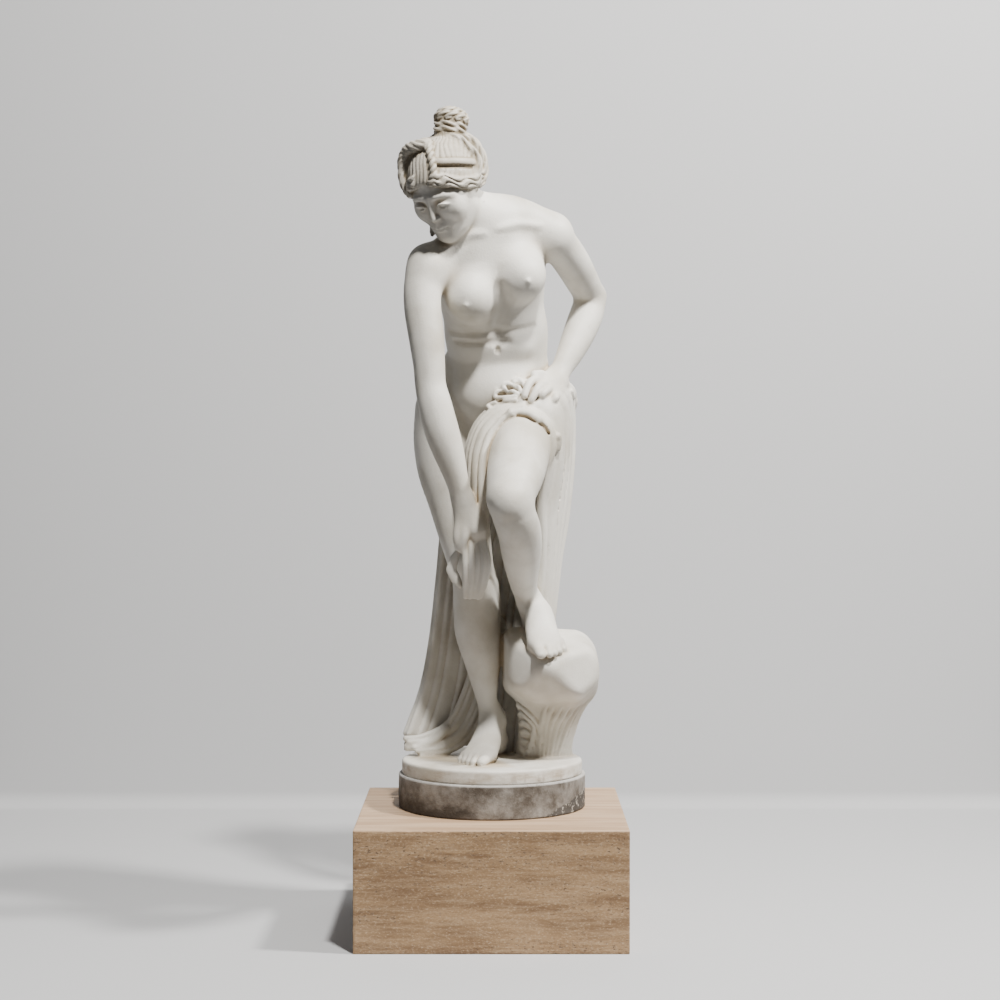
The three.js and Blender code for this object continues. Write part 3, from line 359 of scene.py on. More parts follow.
def drape(clay, edges, pleats, depth, thickness, outward, swell=(0, 0), sharp=True, lines=7):
    """A sheet of cloth between two edge curves, pleated across. With v from 0 to 1 over a pleat, its
    height is depth (1 - v)^1.4 where sharp and depth (1 - |2 v - 1|^2.4) where not. Its middle swells
    outward by the first of swell at the start of the edges and the second at their end."""
    outward = np.asarray(outward, float)
    steps = (len(edges[0]) - 1) * 3
    t = np.linspace(0, 1, steps + 1)
    first, last = curve(edges[0], t), curve(edges[1], t)
    grown = depth * np.clip(0.35 + 1.6 * t, 0, 1)
    beads = []
    before = None
    for u in np.linspace(0, 1, pleats * lines + 1):
        # The pleats are of uneven width.
        v = (u * pleats + 0.22 * math.sin(2.1 * u * pleats)) % 1.0
        height = (1 - v) ** 1.4 if sharp else 1 - abs(2 * v - 1) ** 2.4
        place = first * (1 - u) + last * u
        place += outward * ((swell[0] + (swell[1] - swell[0]) * t) * math.sin(math.pi * u))[:, None]
        laid = clay.lift(place, 0.3 * thickness) + outward * (grown * height)[:, None]
        beads += chain(laid, thickness * (0.8 + 0.2 * height))
        # A line between this one and the last closes the sheet where a pleat falls away.
        if before is not None:
            beads += chain((laid + before) / 2, 0.85 * thickness)
        before = laid
    clay.add(beads, SHEET_SOFTNESS)


def trunk(clay):
    """Hips, chest, belly, seat, shoulders, neck and breasts, each melted on to the last."""
    hips = limb(
        [
            [-12, 70, 800, 136, 88],
            [-12, 72, 850, 156, 96],
            [2, 54, 908, 142, 90],
            [14, 18, 975, 117, 80],
            [11, -12, 1030, 115, 80],
        ],
        [1, 0.04, 0.03],
    )
    chest = limb(
        [
            [11, -12, 1030, 115, 80],
            [4, -44, 1085, 121, 86],
            [0, -80, 1145, 128, 86],
            [0, -104, 1210, 128, 72],
            [8, -118, 1258, 104, 56],
            [8, -126, 1285, 70, 40],
        ],
        [1, 0.3, 0.27],
    )
    clay.add(hips, 30, 45)
    clay.add(chest, 30, 45)
    # The belly, the flanks and the seat.
    clay.add(ball(6, -34, 905, 90, 56, 84), 36)
    clay.add(ball(10, -58, 998, 80, 34, 28), 26)
    for x, y, z in ((-90, 126, 838), (70, 120, 836)):
        clay.add(ball(x, y, z, 84, 64, 78), 36)
    # The upper back, the shoulders and the neck.
    clay.add(ball(32, -88, 1272, 72, 48, 52), 36)
    shoulders = [
        [-136, -160, 1180, 36],
        [-70, -135, 1232, 38],
        [6, -108, 1284, 44],
        [84, -90, 1284, 42],
        [136, -84, 1262, 42],
    ]
    clay.add(limb(shoulders), 34)
    clay.add(limb([[2, -118, 1274, 52], [-38, -150, 1300, 47], [-82, -180, 1328, 44]]), 30)
    # The breasts.
    clay.add(ball(-44, -142, 1112, 56, 58, 58), 34)
    clay.add(ball(-50, -158, 1098, 43, 44, 43), 30)
    clay.add(ball(64, -130, 1164, 54, 56, 60), 34)
    clay.add(ball(74, -148, 1150, 43, 42, 43), 30)


def trunk_modelling(clay):
    """Shoulder blades, collarbones, spine and the soft lines of the belly, on the finished trunk."""
    for x, y, z in ((-72, -62, 1182), (88, -18, 1206)):
        place = clay.lay([[x, y, z]], -13.0)[0]
        clay.add([Ball(place, (34, 16, 50), WORLD)], 30)
    clay.add(strand(clay, [[-22, -160, 1252], [-58, -176, 1240], [-104, -178, 1206]], 5, -3, 5), 14)
    clay.add(strand(clay, [[6, -150, 1262], [52, -138, 1272], [104, -108, 1272]], 5, -3, 5), 14)
    for x, y, z in ((-58, -204, 1084), (82, -190, 1140)):
        place = clay.lay([[x, y, z]], -1.0)[0]
        clay.add([Ball(place, (5.5, 5.5, 5.5), WORLD)], 6)
    groove(clay, [[34, -10, 1262], [26, 20, 1160], [18, 70, 1060], [8, 120, 960], [-2, 150, 912]], 10, 36, -6)
    groove(clay, [[-12, 190, 752], [-11, 196, 800], [-9, 190, 840], [-6, 178, 868]], 8, 16, -2)
    groove(clay, [[-86, -76, 1040], [-34, -110, 1027], [36, -112, 1029], [98, -76, 1045]], 3.2, 13, -1)
    groove(clay, [[-74, -70, 1016], [-24, -98, 1006], [40, -100, 1008]], 2.6, 12, -1)
    groove(clay, [[12, -150, 1130], [12, -120, 1070], [13, -100, 1020]], 8, 30, -4)
    groove(clay, [[13, -92, 995], [13, -92, 984]], 5, 6, 2)


def legs(clay):
    """Both legs down to the ankles, with the kneecaps."""
    # The standing leg, thigh to ankle.
    standing = [
        [-105, 72, 850, 78, 94],
        [-114, 64, 785, 73, 90],
        [-106, 50, 715, 71, 82],
        [-90, 34, 645, 63, 74],
        [-74, 12, 574, 56, 66],
        [-58, -6, 515, 52, 60],
        [-42, -14, 455, 51, 56],
        [-38, 2, 392, 53, 54],
        [-34, 16, 333, 54, 53],
        [-24, 26, 271, 45, 47],
        [-18, 34, 213, 33, 38],
        [-11, 40, 160, 24, 32],
        [4, 46, 100, 26, 33],
        [6, 50, 72, 28, 35],
    ]
    clay.add(limb(standing), 24, 45)
    clay.add(ball(-50, -62, 500, 30, 18, 32), 22)
    clay.add(ball(-51, -68, 506, 20, 12, 22), 14)
    # The raised thigh and shin.
    thigh = [
        [84, 66, 838, 80, 88],
        [78, -20, 812, 76, 82],
        [68, -105, 768, 70, 74],
        [56, -190, 714, 66, 66],
        [47, -248, 676, 58, 56],
        [40, -282, 652, 48, 46],
    ]
    shin = [
        [40, -280, 648, 47, 44],
        [50, -268, 614, 49, 46],
        [63, -222, 573, 49, 50],
        [68, -158, 522, 45, 48],
        [72, -94, 467, 35, 39],
        [79, -44, 425, 28, 33],
        [88, -12, 396, 29, 33],
    ]
    clay.add(limb(thigh), 24, 45)
    clay.add(limb(shin), 18, 40)
    clay.add(ball(38, -312, 640, 26, 18, 28), 18)


def foot(clay, frame, big, ankle=(0, 92, 27, 32)):
    """A foot from the heel's ground point; big is the side of the big toe, 1 or -1, and ankle is the
    place across, the height, the half width and the half depth of the top of its instep."""
    clay.add(frame.ball(0, -28, 30, 29, 34, 30), 20, 30)
    instep = [
        [ankle[0], -36, *ankle[1:]],
        [2 * big, -78, 64, 32, 28],
        [4 * big, -125, 36, 38, 23],
        [2 * big, -165, 22, 40, 15],
    ]
    clay.add(frame.limb(instep), 20, 30)
    # The ankle bones.
    middle, high, half = ankle[:3]
    clay.add(frame.ball(middle + (half - 2) * big, -42, high - 6, 9, 13, 13), 10)
    clay.add(frame.ball(middle - (half - 2) * big, -32, high - 14, 9, 12, 12), 10)
    clay.add(frame.ball(24 * big, -158, 19, 17, 20, 16), 14)
    toe = [
        [22 * big, -160, 17, 17, 14],
        [25 * big, -190, 14, 12.5, 11],
        [25 * big, -203, 14, 13.5, 11.5],
        [24 * big, -217, 11, 12, 9],
    ]
    clay.add(frame.limb(toe), 8)
    for i in range(4):
        side = (3 - 13.5 * i) * big
        end = 212 - 7 * i - 1.6 * i * i
        small = [
            [side, -158 + 4 * i, 17, 10],
            [side, -end + 24, 19, 7.8],
            [side, -end + 9, 14, 7.6],
            [side, -end, 9, 8.2],
        ]
        clay.add(frame.limb(small), 4)


def arms(clay):
    """Shoulders, the hanging right arm and the bent left one, down to the wrists."""
    clay.add(ball(-142, -166, 1172, 46, 48, 50), 30)
    right = [
        [-146, -168, 1180, 41],
        [-156, -178, 1135, 42],
        [-156, -185, 1080, 42],
        [-147, -192, 1010, 40],
        [-141, -196, 950, 36],
        [-138, -196, 905, 35],
        [-128, -198, 860, 38],
        [-114, -197, 806, 39],
        [-100, -192, 762, 36],
        [-89, -186, 726, 31],
        [-78, -178, 688, 26],
        [-66, -168, 645, 24, 20],
    ]
    clay.add(limb(right), 18, 36)
    clay.add(ball(136, -80, 1252, 47), 28)
    upper = [
        [138, -78, 1250, 44],
        [163, -45, 1228, 43],
        [190, 5, 1196, 42],
        [216, 62, 1158, 39],
        [236, 108, 1126, 36],
    ]
    lower = [
        [238, 110, 1128, 34],
        [227, 92, 1086, 40],
        [207, 64, 1036, 38],
        [186, 38, 990, 32],
        [169, 18, 958, 26],
        [155, 2, 934, 24, 19],
    ]
    clay.add(limb(upper), 16, 36)
    clay.add(limb(lower), 12, 36)


def fingers(clay, rows, soft, clear=None):
    """Fingers through [x, y, z] joints with a half width each, which may stand clear of what is under."""
    rows = [np.array(row, float) for row in rows]
    if clear is not None:
        for row in rows:
            row[1:, :3] = clay.lift(row[1:, :3], clear)
    for row in rows:
        clay.add(limb(row, steps=3), soft)


def hands(clay):
    """The backs of the hands, the fingers and the thumbs."""
    # The left hand holds the gathered cloth on the thigh.
    palm = [[155, 2, 936, 24, 19], [146, -20, 922, 31, 17], [130, -48, 905, 33, 13]]
    clay.add(limb(palm, unit([0.75, -0.15, -0.65])), 12)
    fingers(
        clay,
        [
            [[108, -58, 923, 10.5], [90, -88, 916, 9.4], [80, -100, 897, 8.4], [73, -100, 880, 7.4]],
            [[122, -58, 912, 10.5], [108, -92, 903, 9.6], [97, -104, 884, 8.6], [89, -103, 867, 7.6]],
            [[136, -52, 901, 10], [126, -84, 893, 9.2], [116, -97, 877, 8.2], [109, -97, 862, 7.4]],
            [[148, -42, 890, 9.4], [143, -70, 879, 8.4], [134, -82, 866, 7.6], [129, -80, 857, 7]],
        ],
        2.5,
        clear=5.0,
    )
    clay.add(limb([[140, -6, 915, 12], [118, -40, 934, 10.5], [98, -66, 934, 9]]), 8)
    # The right hand is closed on a bunch of cloth, its first finger and thumb reaching down.
    back = [
        [-66, -168, 648, 24, 20],
        [-59, -168, 618, 29, 17],
        [-47, -166, 590, 32, 15],
        [-38, -160, 572, 26, 12],
    ]
    clay.add(limb(back), 12)
    fingers(
        clay,
        [
            [[-72, -164, 600, 11], [-77, -172, 574, 10], [-79, -172, 554, 8.6], [-77, -166, 537, 7.2]],
            [[-58, -168, 592, 10.5], [-60, -178, 568, 9.6], [-65, -177, 548, 8.4], [-70, -170, 533, 7.2]],
            [[-42, -168, 594, 14], [-37, -174, 576, 13], [-37, -164, 562, 11]],
            [[-26, -164, 594, 13], [-21, -169, 577, 12], [-22, -158, 563, 10]],
        ],
        9,
    )


# The head bends forward and turns to the right shoulder.
HEAD = Frame([-100, -203, 1350], [-0.38, -0.66, -0.64], [-0.36, -0.52, 0.77])
KNOT = HEAD.at(7, 64, 74)
KNOT_LEAN = unit([0.12, 0.08, 1])
SKULL = HEAD.at(0, 10, 26)
SKULL_SIZE = np.array([72.0, 90.0, 80.0])
HAIRLINE = [(0, 18), (27, 10), (43, 2), (52, -5), (69, -19), (90, -30), (115, -38), (180, -42)]


def head(clay):
    """The skull, the jaw and the chin, then the face and the hair on them."""
    clay.add(HEAD.ball(0, 10, 26, 72, 90, 80), 24, 34)
    clay.add(HEAD.ball(0, -30, -22, 60, 56, 62), 26, 30)
    clay.add(HEAD.ball(0, -58, -66, 28, 28, 24), 26)
    for s in (-1, 1):
        clay.add(HEAD.limb([[s * 44, -14, -46, 15], [s * 26, -46, -70, 16], [0, -62, -76, 17]]), 20)
    face(clay)
    hair(clay)
    bun(clay)


def face(clay):
    """A calm, regular face: lowered lids, a straight nose and closed lips."""
    for s in (-1, 1):
        clay.add(HEAD.ball(s * 36, -58, -16, 24, 22, 26), 22)
        clay.cut(HEAD.ball(s * 29, -98, 7, 17, 15, 10), 14)
        clay.add(HEAD.ball(s * 29, -73, 4.5, 13.5, 13, 10.5), 5)
        brow = [
            [s * 8, -82, 24, 3],
            [s * 22, -83, 26, 3.5],
            [s * 38, -75, 24, 3.5],
            [s * 50, -61, 16, 3],
        ]
        clay.add(HEAD.limb(brow), 14)
        lid = [
            [s * 16, -84, 3, 1.6],
            [s * 22, -87.5, 8, 2.2],
            [s * 30, -88, 9.5, 2.4],
            [s * 38, -84, 7, 2.2],
            [s * 44, -77, 2, 1.6],
        ]
        clay.add(HEAD.limb(lid), 2.5)
        lower = [
            [s * 17, -84, 1, 1.2],
            [s * 25, -86.5, -3, 1.7],
            [s * 34, -84.5, -3.5, 1.7],
            [s * 42, -78, 0, 1.2],
        ]
        clay.add(HEAD.limb(lower), 2.5)
    nose = [[0, -83, 24, 5], [0, -88, 8, 5.2], [0, -93.5, -8, 5.6], [0, -97.5, -21, 6.4]]
    clay.add(HEAD.limb(nose), 11)
    for s in (-1, 1):
        clay.add(HEAD.ball(s * 8, -90, -23, 4.8, 6.5, 4.6), 5)
    # The mouth, the hollow under it and the chin.
    clay.add(HEAD.ball(0, -72, -48, 27, 19, 20), 14)
    clay.add(HEAD.limb([[0, -83, -30, 6], [0, -86, -41, 6]]), 12)
    upper = [
        [-21, -83, -50, 1.6],
        [-10, -91, -47.5, 3.4],
        [0, -93.5, -48.5, 3],
        [10, -91, -47.5, 3.4],
        [21, -83, -50, 1.6],
    ]
    under = [
        [-18, -84, -52, 1.6],
        [-8, -90.5, -55, 4],
        [0, -91.5, -55.5, 4.4],
        [8, -90.5, -55, 4],
        [18, -84, -52, 1.6],
    ]
    parting = [[-20, -86, -51, 0.8], [-8, -95, -51, 1.2], [8, -95, -51, 1.2], [20, -86, -51, 0.8]]
    clay.add(HEAD.limb(upper), 3)
    clay.add(HEAD.limb(under), 3)
    clay.cut(HEAD.limb(parting), 2)
    clay.add(HEAD.ball(0, -72, -76, 19, 17, 14), 14)


def scalp(turn, rise, out):
    """Points out from the skull: turn goes from the brow round her left side, rise up from the ears."""
    turn, rise = np.radians(turn), np.radians(rise)
    x, y, z = (size + out for size in SKULL_SIZE)
    flat = np.cos(rise)
    local = [x * np.sin(turn) * flat, -y * np.cos(turn) * flat, z * np.sin(rise)]
    return SKULL + np.stack(local, axis=-1) @ np.array(HEAD.axes)


def over_the_skull(x, y, z):
    """The same in reverse: turn, rise, and the places as shares q of the skull's size."""
    q = [
        ((x - SKULL[0]) * a[0] + (y - SKULL[1]) * a[1] + (z - SKULL[2]) * a[2]) / size
        for a, size in zip(HEAD.axes, SKULL_SIZE)
    ]
    share = np.maximum(np.sqrt(q[0] ** 2 + q[1] ** 2 + q[2] ** 2), 1e-6)
    rise = np.arcsin(np.clip(q[2] / share, -1, 1))
    return np.degrees(np.arctan2(q[0], -q[1])), np.degrees(rise), q


def hairline(turn):
    """Rise of the hairline at a turn from the brow, between pairs of a turn and its rise."""
    turns, rises = zip(*HAIRLINE)
    return np.interp(np.abs(turn), turns, rises)


def smooth(value):
    """0 below 0 and 1 above 1, as 3 v^2 - 2 v^3 between."""
    value = np.clip(value, 0, 1)
    return value * value * (3 - 2 * value)


def valleys(phase):
    """Round ridges with narrow valleys at each whole phase: (1 - |sin(pi phase)|)^1.6."""
    return (1 - np.abs(np.sin(np.pi * phase))) ** 1.6


def cap(clay):
    """A layer of hair above the hairline. Over the crown its strands run up to the knot, 40 of them
    round the knot's axis. In a border along the hairline they run back in waves, one over another."""
    whole = clay.window(SKULL - 150, SKULL + 150)
    z, y, x = (lines[part] for lines, part in zip(clay.lines[::-1], whole))
    turn, rise, q = over_the_skull(x[None, None, :], y[None, :, None], z[:, None, None])
    above = rise - hairline(turn)
    border = smooth((27 - above) / 6) * smooth((np.abs(turn) - 14) / 9)
    wave = above + 3.4 * np.sin(np.radians(13 * turn) + 0.07 * above)
    waved = 5.6 * valleys(wave / 9.0) + 1.4 * valleys(wave / 3.0 + 0.5)
    front = 0.707 * (q[2] - q[1])
    strands = 40 * np.arctan2(q[0], front) / (2 * np.pi)
    strands = strands + 0.25 * np.sin(np.radians(7 * rise)) + 0.2 * np.sin(np.radians(5 * turn))
    combed = 2.6 * valleys(strands)
    sunk = (combed * (1 - border) + waved * border) * smooth((above + 2) / 8)
    layer = stretched(*(part * size for part, size in zip(q, SKULL_SIZE)), *SKULL_SIZE)
    layer = layer - (14 * smooth((above + 4) / 13) - 7) - 7.5 * border * smooth((above + 3) / 7) + sunk
    clay.field[tuple(whole)] = melt(clay.field[tuple(whole)], layer.astype(np.float32), 2)


def rope(path, radius, strands, turns, taper=0.5):
    """Strands that wind round a core, each at the angle 2 pi (n / strands + turns t)."""
    t = np.linspace(0, 1, len(path))
    along = unit(np.gradient(path, axis=0))
    side = unit(np.cross(along, path - SKULL))
    out = np.cross(side, along)
    girth = radius * (1 - taper * np.abs(2 * t - 1) ** 5)
    off = 0.5 if strands < 4 else 0.62
    thick = 1.16 * off * math.sin(math.pi / strands)
    beads = chain(path, 0.5 * girth)
    for n in range(strands):
        roll = 2 * np.pi * (n / strands + turns * t)
        away = np.cos(roll)[:, None] * out + np.sin(roll)[:, None] * side
        beads += chain(path + (off * girth)[:, None] * away, thick * girth)
    return beads


def lock(stations, count, sunk=0):
    """A path of count points over the skull through [turn, rise, out] stations, lower by sunk."""
    turn, rise, out = curve(stations, np.linspace(0, 1, count)).T
    return scalp(turn, rise, out - sunk)


def hair(clay):
    """The cap, then the loops, the band, the roll, the curl and the plait on it."""
    cap(clay)
    for s in (-1, 1):
        # Loops from the knot to behind the ear, one within the other, on a cushion of hair.
        outer = [
            [s * 150, 50, 10],
            [s * 145, 32, 15],
            [s * 140, 18, 18],
            [s * 133, 4, 17],
            [s * 124, -14, 15],
            [s * 112, -29, 11],
            [s * 94, -31, 8],
        ]
        inner = [
            [s * 142, 56, 8],
            [s * 126, 44, 12],
            [s * 112, 28, 13],
            [s * 110, 11, 14],
            [s * 101, -3, 13],
            [s * 88, -12, 9],
        ]
        for loop in (outer, inner):
            clay.add(chain(lock(loop, 24, sunk=9), 9), 8)
        clay.add(rope(lock(outer, 40), 9, 4, 1.4), 1.5)
        clay.add(rope(lock(inner, 34), 7.4, 3, 1.4), 1.5)
    # The flat band over the left of the crown, with a groove under it.
    band = lock([[27, 52, 6], [44, 46, 8], [63, 37, 9], [79, 26, 9], [96, 12, 8], [106, 4, 5]], 30)
    under = lock([[30, 44, 6], [44, 38, 6], [62, 28, 6], [76, 18, 6], [90, 6, 6]], 26)
    clay.cut(chain(under, 3.6), 2)
    beads = []
    for here, there in zip(band[:-1], band[1:]):
        beads.append(Bead(here, there, (7.5, 4), (7.5, 4), np.cross(here - SKULL, there - here)))
    clay.add(beads, 1)
    # The thick roll turned up over her right temple, and its tail down to the brow, on a cushion.
    roll = [
        [24, 74, 5],
        [-10, 84, 10],
        [-56, 72, 16],
        [-78, 55, 21],
        [-76, 40, 22],
        [-66, 25, 20],
        [-57, 11, 16],
        [-51, 1, 11],
        [-48, -6, 6],
    ]
    path = lock(roll, 60)
    clay.add(chain(lock(roll[3:8], 20, sunk=11), 9), 6)
    clay.add(rope(path[:36], 15, 6, 1.5, 0.3), 0.8)
    clay.add(rope(path[28:], 9, 4, 1.5, 0.4), 0.8)
    # A curl that falls behind the jaw on her right.
    t = np.linspace(0, 1, 24)
    curl = curve([[-134, -160, 1322], [-142, -166, 1292], [-132, -170, 1266], [-136, -166, 1244]], t)
    clay.add(rope(curl, 9, 3, 1.6, 0.6), 1.5)
    # A plait down the parting.
    plait = [[10, 84, 8], [24, 74, 8], [28, 62, 8], [28, 48, 8], [26, 36, 8], [20, 26, 7], [11, 20, 4]]
    clay.add(rope(lock(plait, 48), 8.6, 2, 4.0, 0.3), 0.8)


def bun(clay):
    """A core, two ropes round it and a dome of wound locks."""

    def level(height):
        """A place on the knot's axis."""
        return KNOT + height * KNOT_LEAN

    across = unit(np.cross(KNOT_LEAN, [0.0, 1.0, 0.0]))
    through = np.cross(KNOT_LEAN, across)

    def round_the_core(turn, reach, height):
        """Places at a turn about the knot's axis, a reach from it and a height along it."""
        turn, reach, height = np.broadcast_arrays(turn, reach, height)
        flat = np.cos(turn)[:, None] * across + np.sin(turn)[:, None] * through
        return KNOT + reach[:, None] * flat + height[:, None] * KNOT_LEAN

    clay.add(limb([[*level(-14), 33], [*level(12), 33], [*level(32), 34], [*level(50), 33]]), 8)
    clay.add([Ball(level(52), (35, 35, 26), [across, through, KNOT_LEAN])], 4)
    ring = np.linspace(0, 2 * np.pi, 60)
    for height in (26, 38):
        clay.add(rope(round_the_core(ring, 33, height), 6.5, 2, 3, 0), 0.8)
    t = np.linspace(0, 1, 16)
    wound = 10
    for i in range(wound):
        turn = 2 * np.pi * i / wound + 1.5 * t
        climb = np.pi / 2 * t
        path = round_the_core(turn, 3 + 33 * np.cos(climb) ** 0.8, 49 + 27 * np.sin(climb))
        clay.add(rope(path, 7.5, 3, 0.8, 0.3), 1)


def boulder(clay):
    """The stone under the raised foot, and the stump and the reeds that carry it."""
    faces = [
        [0.054, -0.255, 0.966, 92, 30, 343],
        [0, 1, 0.15, 140, 42, 262],
        [0.1, -1, 0.1, 140, -174, 240],
        [0.05, -0.8, 0.6, 140, -172, 272],
        [1, 0, 0.05, 250, 0, 250],
        [0.75, -0.1, 0.66, 232, -20, 308],
        [0.7, -0.25, -0.68, 236, -40, 192],
        [-1, -0.1, 0, 32, -40, 262],
        [-0.72, -0.68, 0.1, 58, -116, 262],
        [0.62, -0.78, 0, 212, -116, 250],
        [0, -0.3, -0.95, 142, -60, 166],
        [-0.1, -0.75, -0.65, 142, -122, 192],
        [-0.6, -0.2, -0.77, 58, -60, 188],
        [-0.5, 0.1, 0.86, 52, 10, 352],
    ]
    clay.add([Boulder(faces, [20, -165, 155], [262, 65, 372], 18)], 12)
    stump = [
        [124, 46, 6, 70, 50],
        [126, 46, 60, 66, 48],
        [132, 30, 124, 70, 54],
        [136, -4, 190, 80, 66],
    ]
    clay.add(limb(stump), 16, 30)
    # A sheaf of reeds that curls over on the left, and one that spreads up on the right.
    for i in range(6):
        k = 1 - 0.15 * i
        curl = [
            [50 + 2 * i, 12 + 2 * i, 150 - 20 * i],
            [55 + 16 * k, -18 + 3 * i, 160 - 23 * i],
            [60 + 40 * k, -24 + 4 * i, 136 - 18 * i],
            [62 + 50 * k, -6 + 3 * i, 94 - 11 * i],
            [64 + 52 * k, 2, 48 - 3 * i],
        ]
        clay.add(strand(clay, curl, 7.5, -2.5, 5, 0.3), 1.5)
        groove(clay, [[x + 4, y, z + 10] for x, y, z in curl], 2.0, 2, 1.0, 5)
    for i in range(10):
        spread = [
            [112 + 8.5 * i, -6 + 3 * i, 32],
            [114 + 10.5 * i, -8 + 3 * i, 84],
            [120 + 12 * i, -26 + 4 * i, 132],
            [128 + 13 * i, -50 + 7 * i, 178],
        ]
        clay.add(strand(clay, spread, 6.8 + 1.2 * math.sin(3 * i), -2.0, 5, 0.4), 1.5)
        groove(clay, [[x + 6, y, z] for x, y, z in spread], 2.0, 2, 1.0, 5)


# The outer edge of the cloth from the left hand down, which both its front and its back meet.
OUTER_EDGE = [
    [140, -30, 914],
    [180, 8, 902],
    [190, 42, 862],
    [188, 50, 790],
    [184, 46, 710],
    [174, 44, 610],
    [160, 42, 530],
    [148, 42, 430],
    [138, 46, 340],
    [118, 66, 240],
]


def over_the_thigh(clay):
    """The cloth in front: both sides of the raised thigh and the gathers beside the left hand."""
    # Down the outer side of the thigh, from the hand.
    front = [
        [76, -116, 840],
        [98, -121, 818],
        [115, -118, 780],
        [124, -114, 730],
        [118, -100, 684],
        [108, -82, 632],
        [112, -48, 550],
        [110, -8, 450],
        [102, 24, 350],
        [94, 56, 240],
    ]
    drape(clay, [front, OUTER_EDGE], 4, 5, 6.5, (0.55, -0.8, 0.15), (20, 4), sharp=False, lines=9)
    # The valleys between its folds.
    for share in (0.27, 0.5, 0.74):
        valley = np.array(front) * (1 - share) + np.array(OUTER_EDGE) * share
        groove(clay, valley[1:9], 6.5, 5, 1.5, 6)
    # The rounded roll of its edge that sweeps from the top of the thigh, out and down.
    fold = [
        [42, -122, 845],
        [81, -124, 832],
        [106, -118, 817],
        [128, -104, 789],
        [140, -92, 758],
        [141, -84, 722],
    ]
    clay.add(strand(clay, fold, 11, 2, 6, 0.7), 4)
    groove(clay, [[x - 13, y - 5, z - 6] for x, y, z in fold], 4, 3, 1.0, 6)
    # Down its inner side, and on between the legs.
    rim = [
        [82, -119, 836],
        [44, -123, 830],
        [8, -134, 798],
        [-10, -148, 748],
        [-14, -160, 690],
        [-12, -160, 632],
        [-8, -128, 570],
        [-2, -70, 500],
        [8, -6, 420],
        [14, 36, 340],
    ]
    inside = [
        [66, -84, 884],
        [10, -86, 862],
        [-34, -88, 818],
        [-54, -92, 758],
        [-56, -94, 696],
        [-58, -92, 636],
        [-48, -70, 570],
        [-30, -20, 500],
        [-12, 32, 420],
        [-6, 66, 340],
    ]
    drape(clay, [rim, inside], 4, 14, 6, (-0.45, -0.85, 0.1), (4, 4), sharp=False, lines=8)
    # The cloth swells a little under the finger tips.
    clay.add(limb([[64, -92, 874, 12], [82, -97, 858, 13], [104, -92, 852, 14]]), 10)
    # The gathered edge beside the hand, in scallops that open outwards, each a rim round a hollow.
    clay.add(limb([[52, -84, 872, 14], [88, -78, 888, 20], [130, -42, 896, 21]]), 10)
    scallops = [
        [[58, -100, 872], [22, -100, 869], [-4, -94, 863], [-2, -96, 852], [24, -106, 850], [50, -106, 856]],
        [[58, -100, 878], [30, -102, 879], [8, -94, 880], [14, -92, 893], [44, -96, 890]],
        [[62, -98, 882], [44, -98, 892], [26, -88, 902], [37, -86, 912], [60, -94, 898]],
        [[68, -96, 886], [58, -94, 902], [50, -84, 918], [64, -82, 922], [76, -92, 902]],
    ]
    for scallop in scallops:
        lip = clay.lift(scallop, 2.5)
        clay.add(limb(np.column_stack([lip, np.full(len(lip), 5.0)]), steps=5), 1.5)
        middle = clay.lay([np.mean(lip[1:], axis=0)], 0.0)
        clay.cut([Ball(middle[0], (8, 8, 6))], 3)
    # The rolled edge from the gathers, under the hand and round the hip.
    edge = [
        [60, -80, 912, 9],
        [100, -64, 914, 11],
        [150, -24, 920, 12],
        [184, 26, 900, 13],
        [190, 74, 870, 12],
    ]
    clay.add(limb(edge), 7)


def down_the_back(clay):
    """The cloth behind: its pleats, the sweep along the ground and the rolled upper hem."""
    # Pleats spread from the hip: the nearest falls straight, the farthest follows the hem.
    straight = [
        [186, 52, 870],
        [186, 62, 800],
        [176, 76, 710],
        [156, 86, 600],
        [132, 92, 480],
        [112, 92, 360],
        [94, 92, 240],
        [84, 90, 130],
        [78, 86, 28],
    ]
    sweeping = [
        [188, 72, 872],
        [150, 136, 816],
        [60, 150, 748],
        [-50, 128, 668],
        [-112, 96, 590],
        [-128, 84, 470],
        [-144, 76, 320],
        [-168, 62, 190],
        [-206, 40, 84],
    ]
    drape(clay, [straight, sweeping], 10, 17, 8, (0.1, 1, 0), (20, 16), lines=8)
    # The turn of the cloth at the hip joins the front of it to the back.
    drape(clay, [OUTER_EDGE, straight], 3, 8, 7, (1, 0, 0), sharp=False)
    # The near folds on the left of the standing leg, swept along the ground.
    near = [
        [-10, 96, 420],
        [-30, 92, 300],
        [-60, 84, 190],
        [-100, 66, 110],
        [-160, 46, 78],
        [-202, 34, 74],
    ]
    low = [
        [30, 104, 330],
        [4, 102, 220],
        [-22, 94, 130],
        [-52, 76, 70],
        [-104, 52, 40],
        [-164, 32, 36],
    ]
    drape(clay, [near, low], 4, 12, 7, (-0.2, -1, 0.1), (0, 4))
    clay.add(limb([[-200, 28, 56, 12], [-163, 30, 60, 12], [-132, 36, 74, 11], [-108, 44, 96, 8]]), 4)
    clay.cut(limb([[-216, 26, 55, 6], [-202, 28, 56, 5.5], [-192, 29, 57, 3]]), 2)
    # The rolled upper hem across the back of the thighs.
    hem = [
        [190, 60, 874, 13],
        [178, 112, 842, 14],
        [112, 154, 786, 15],
        [24, 142, 722, 15],
        [-56, 126, 664, 14],
        [-112, 96, 598, 12],
    ]
    clay.add(limb(hem), 8)


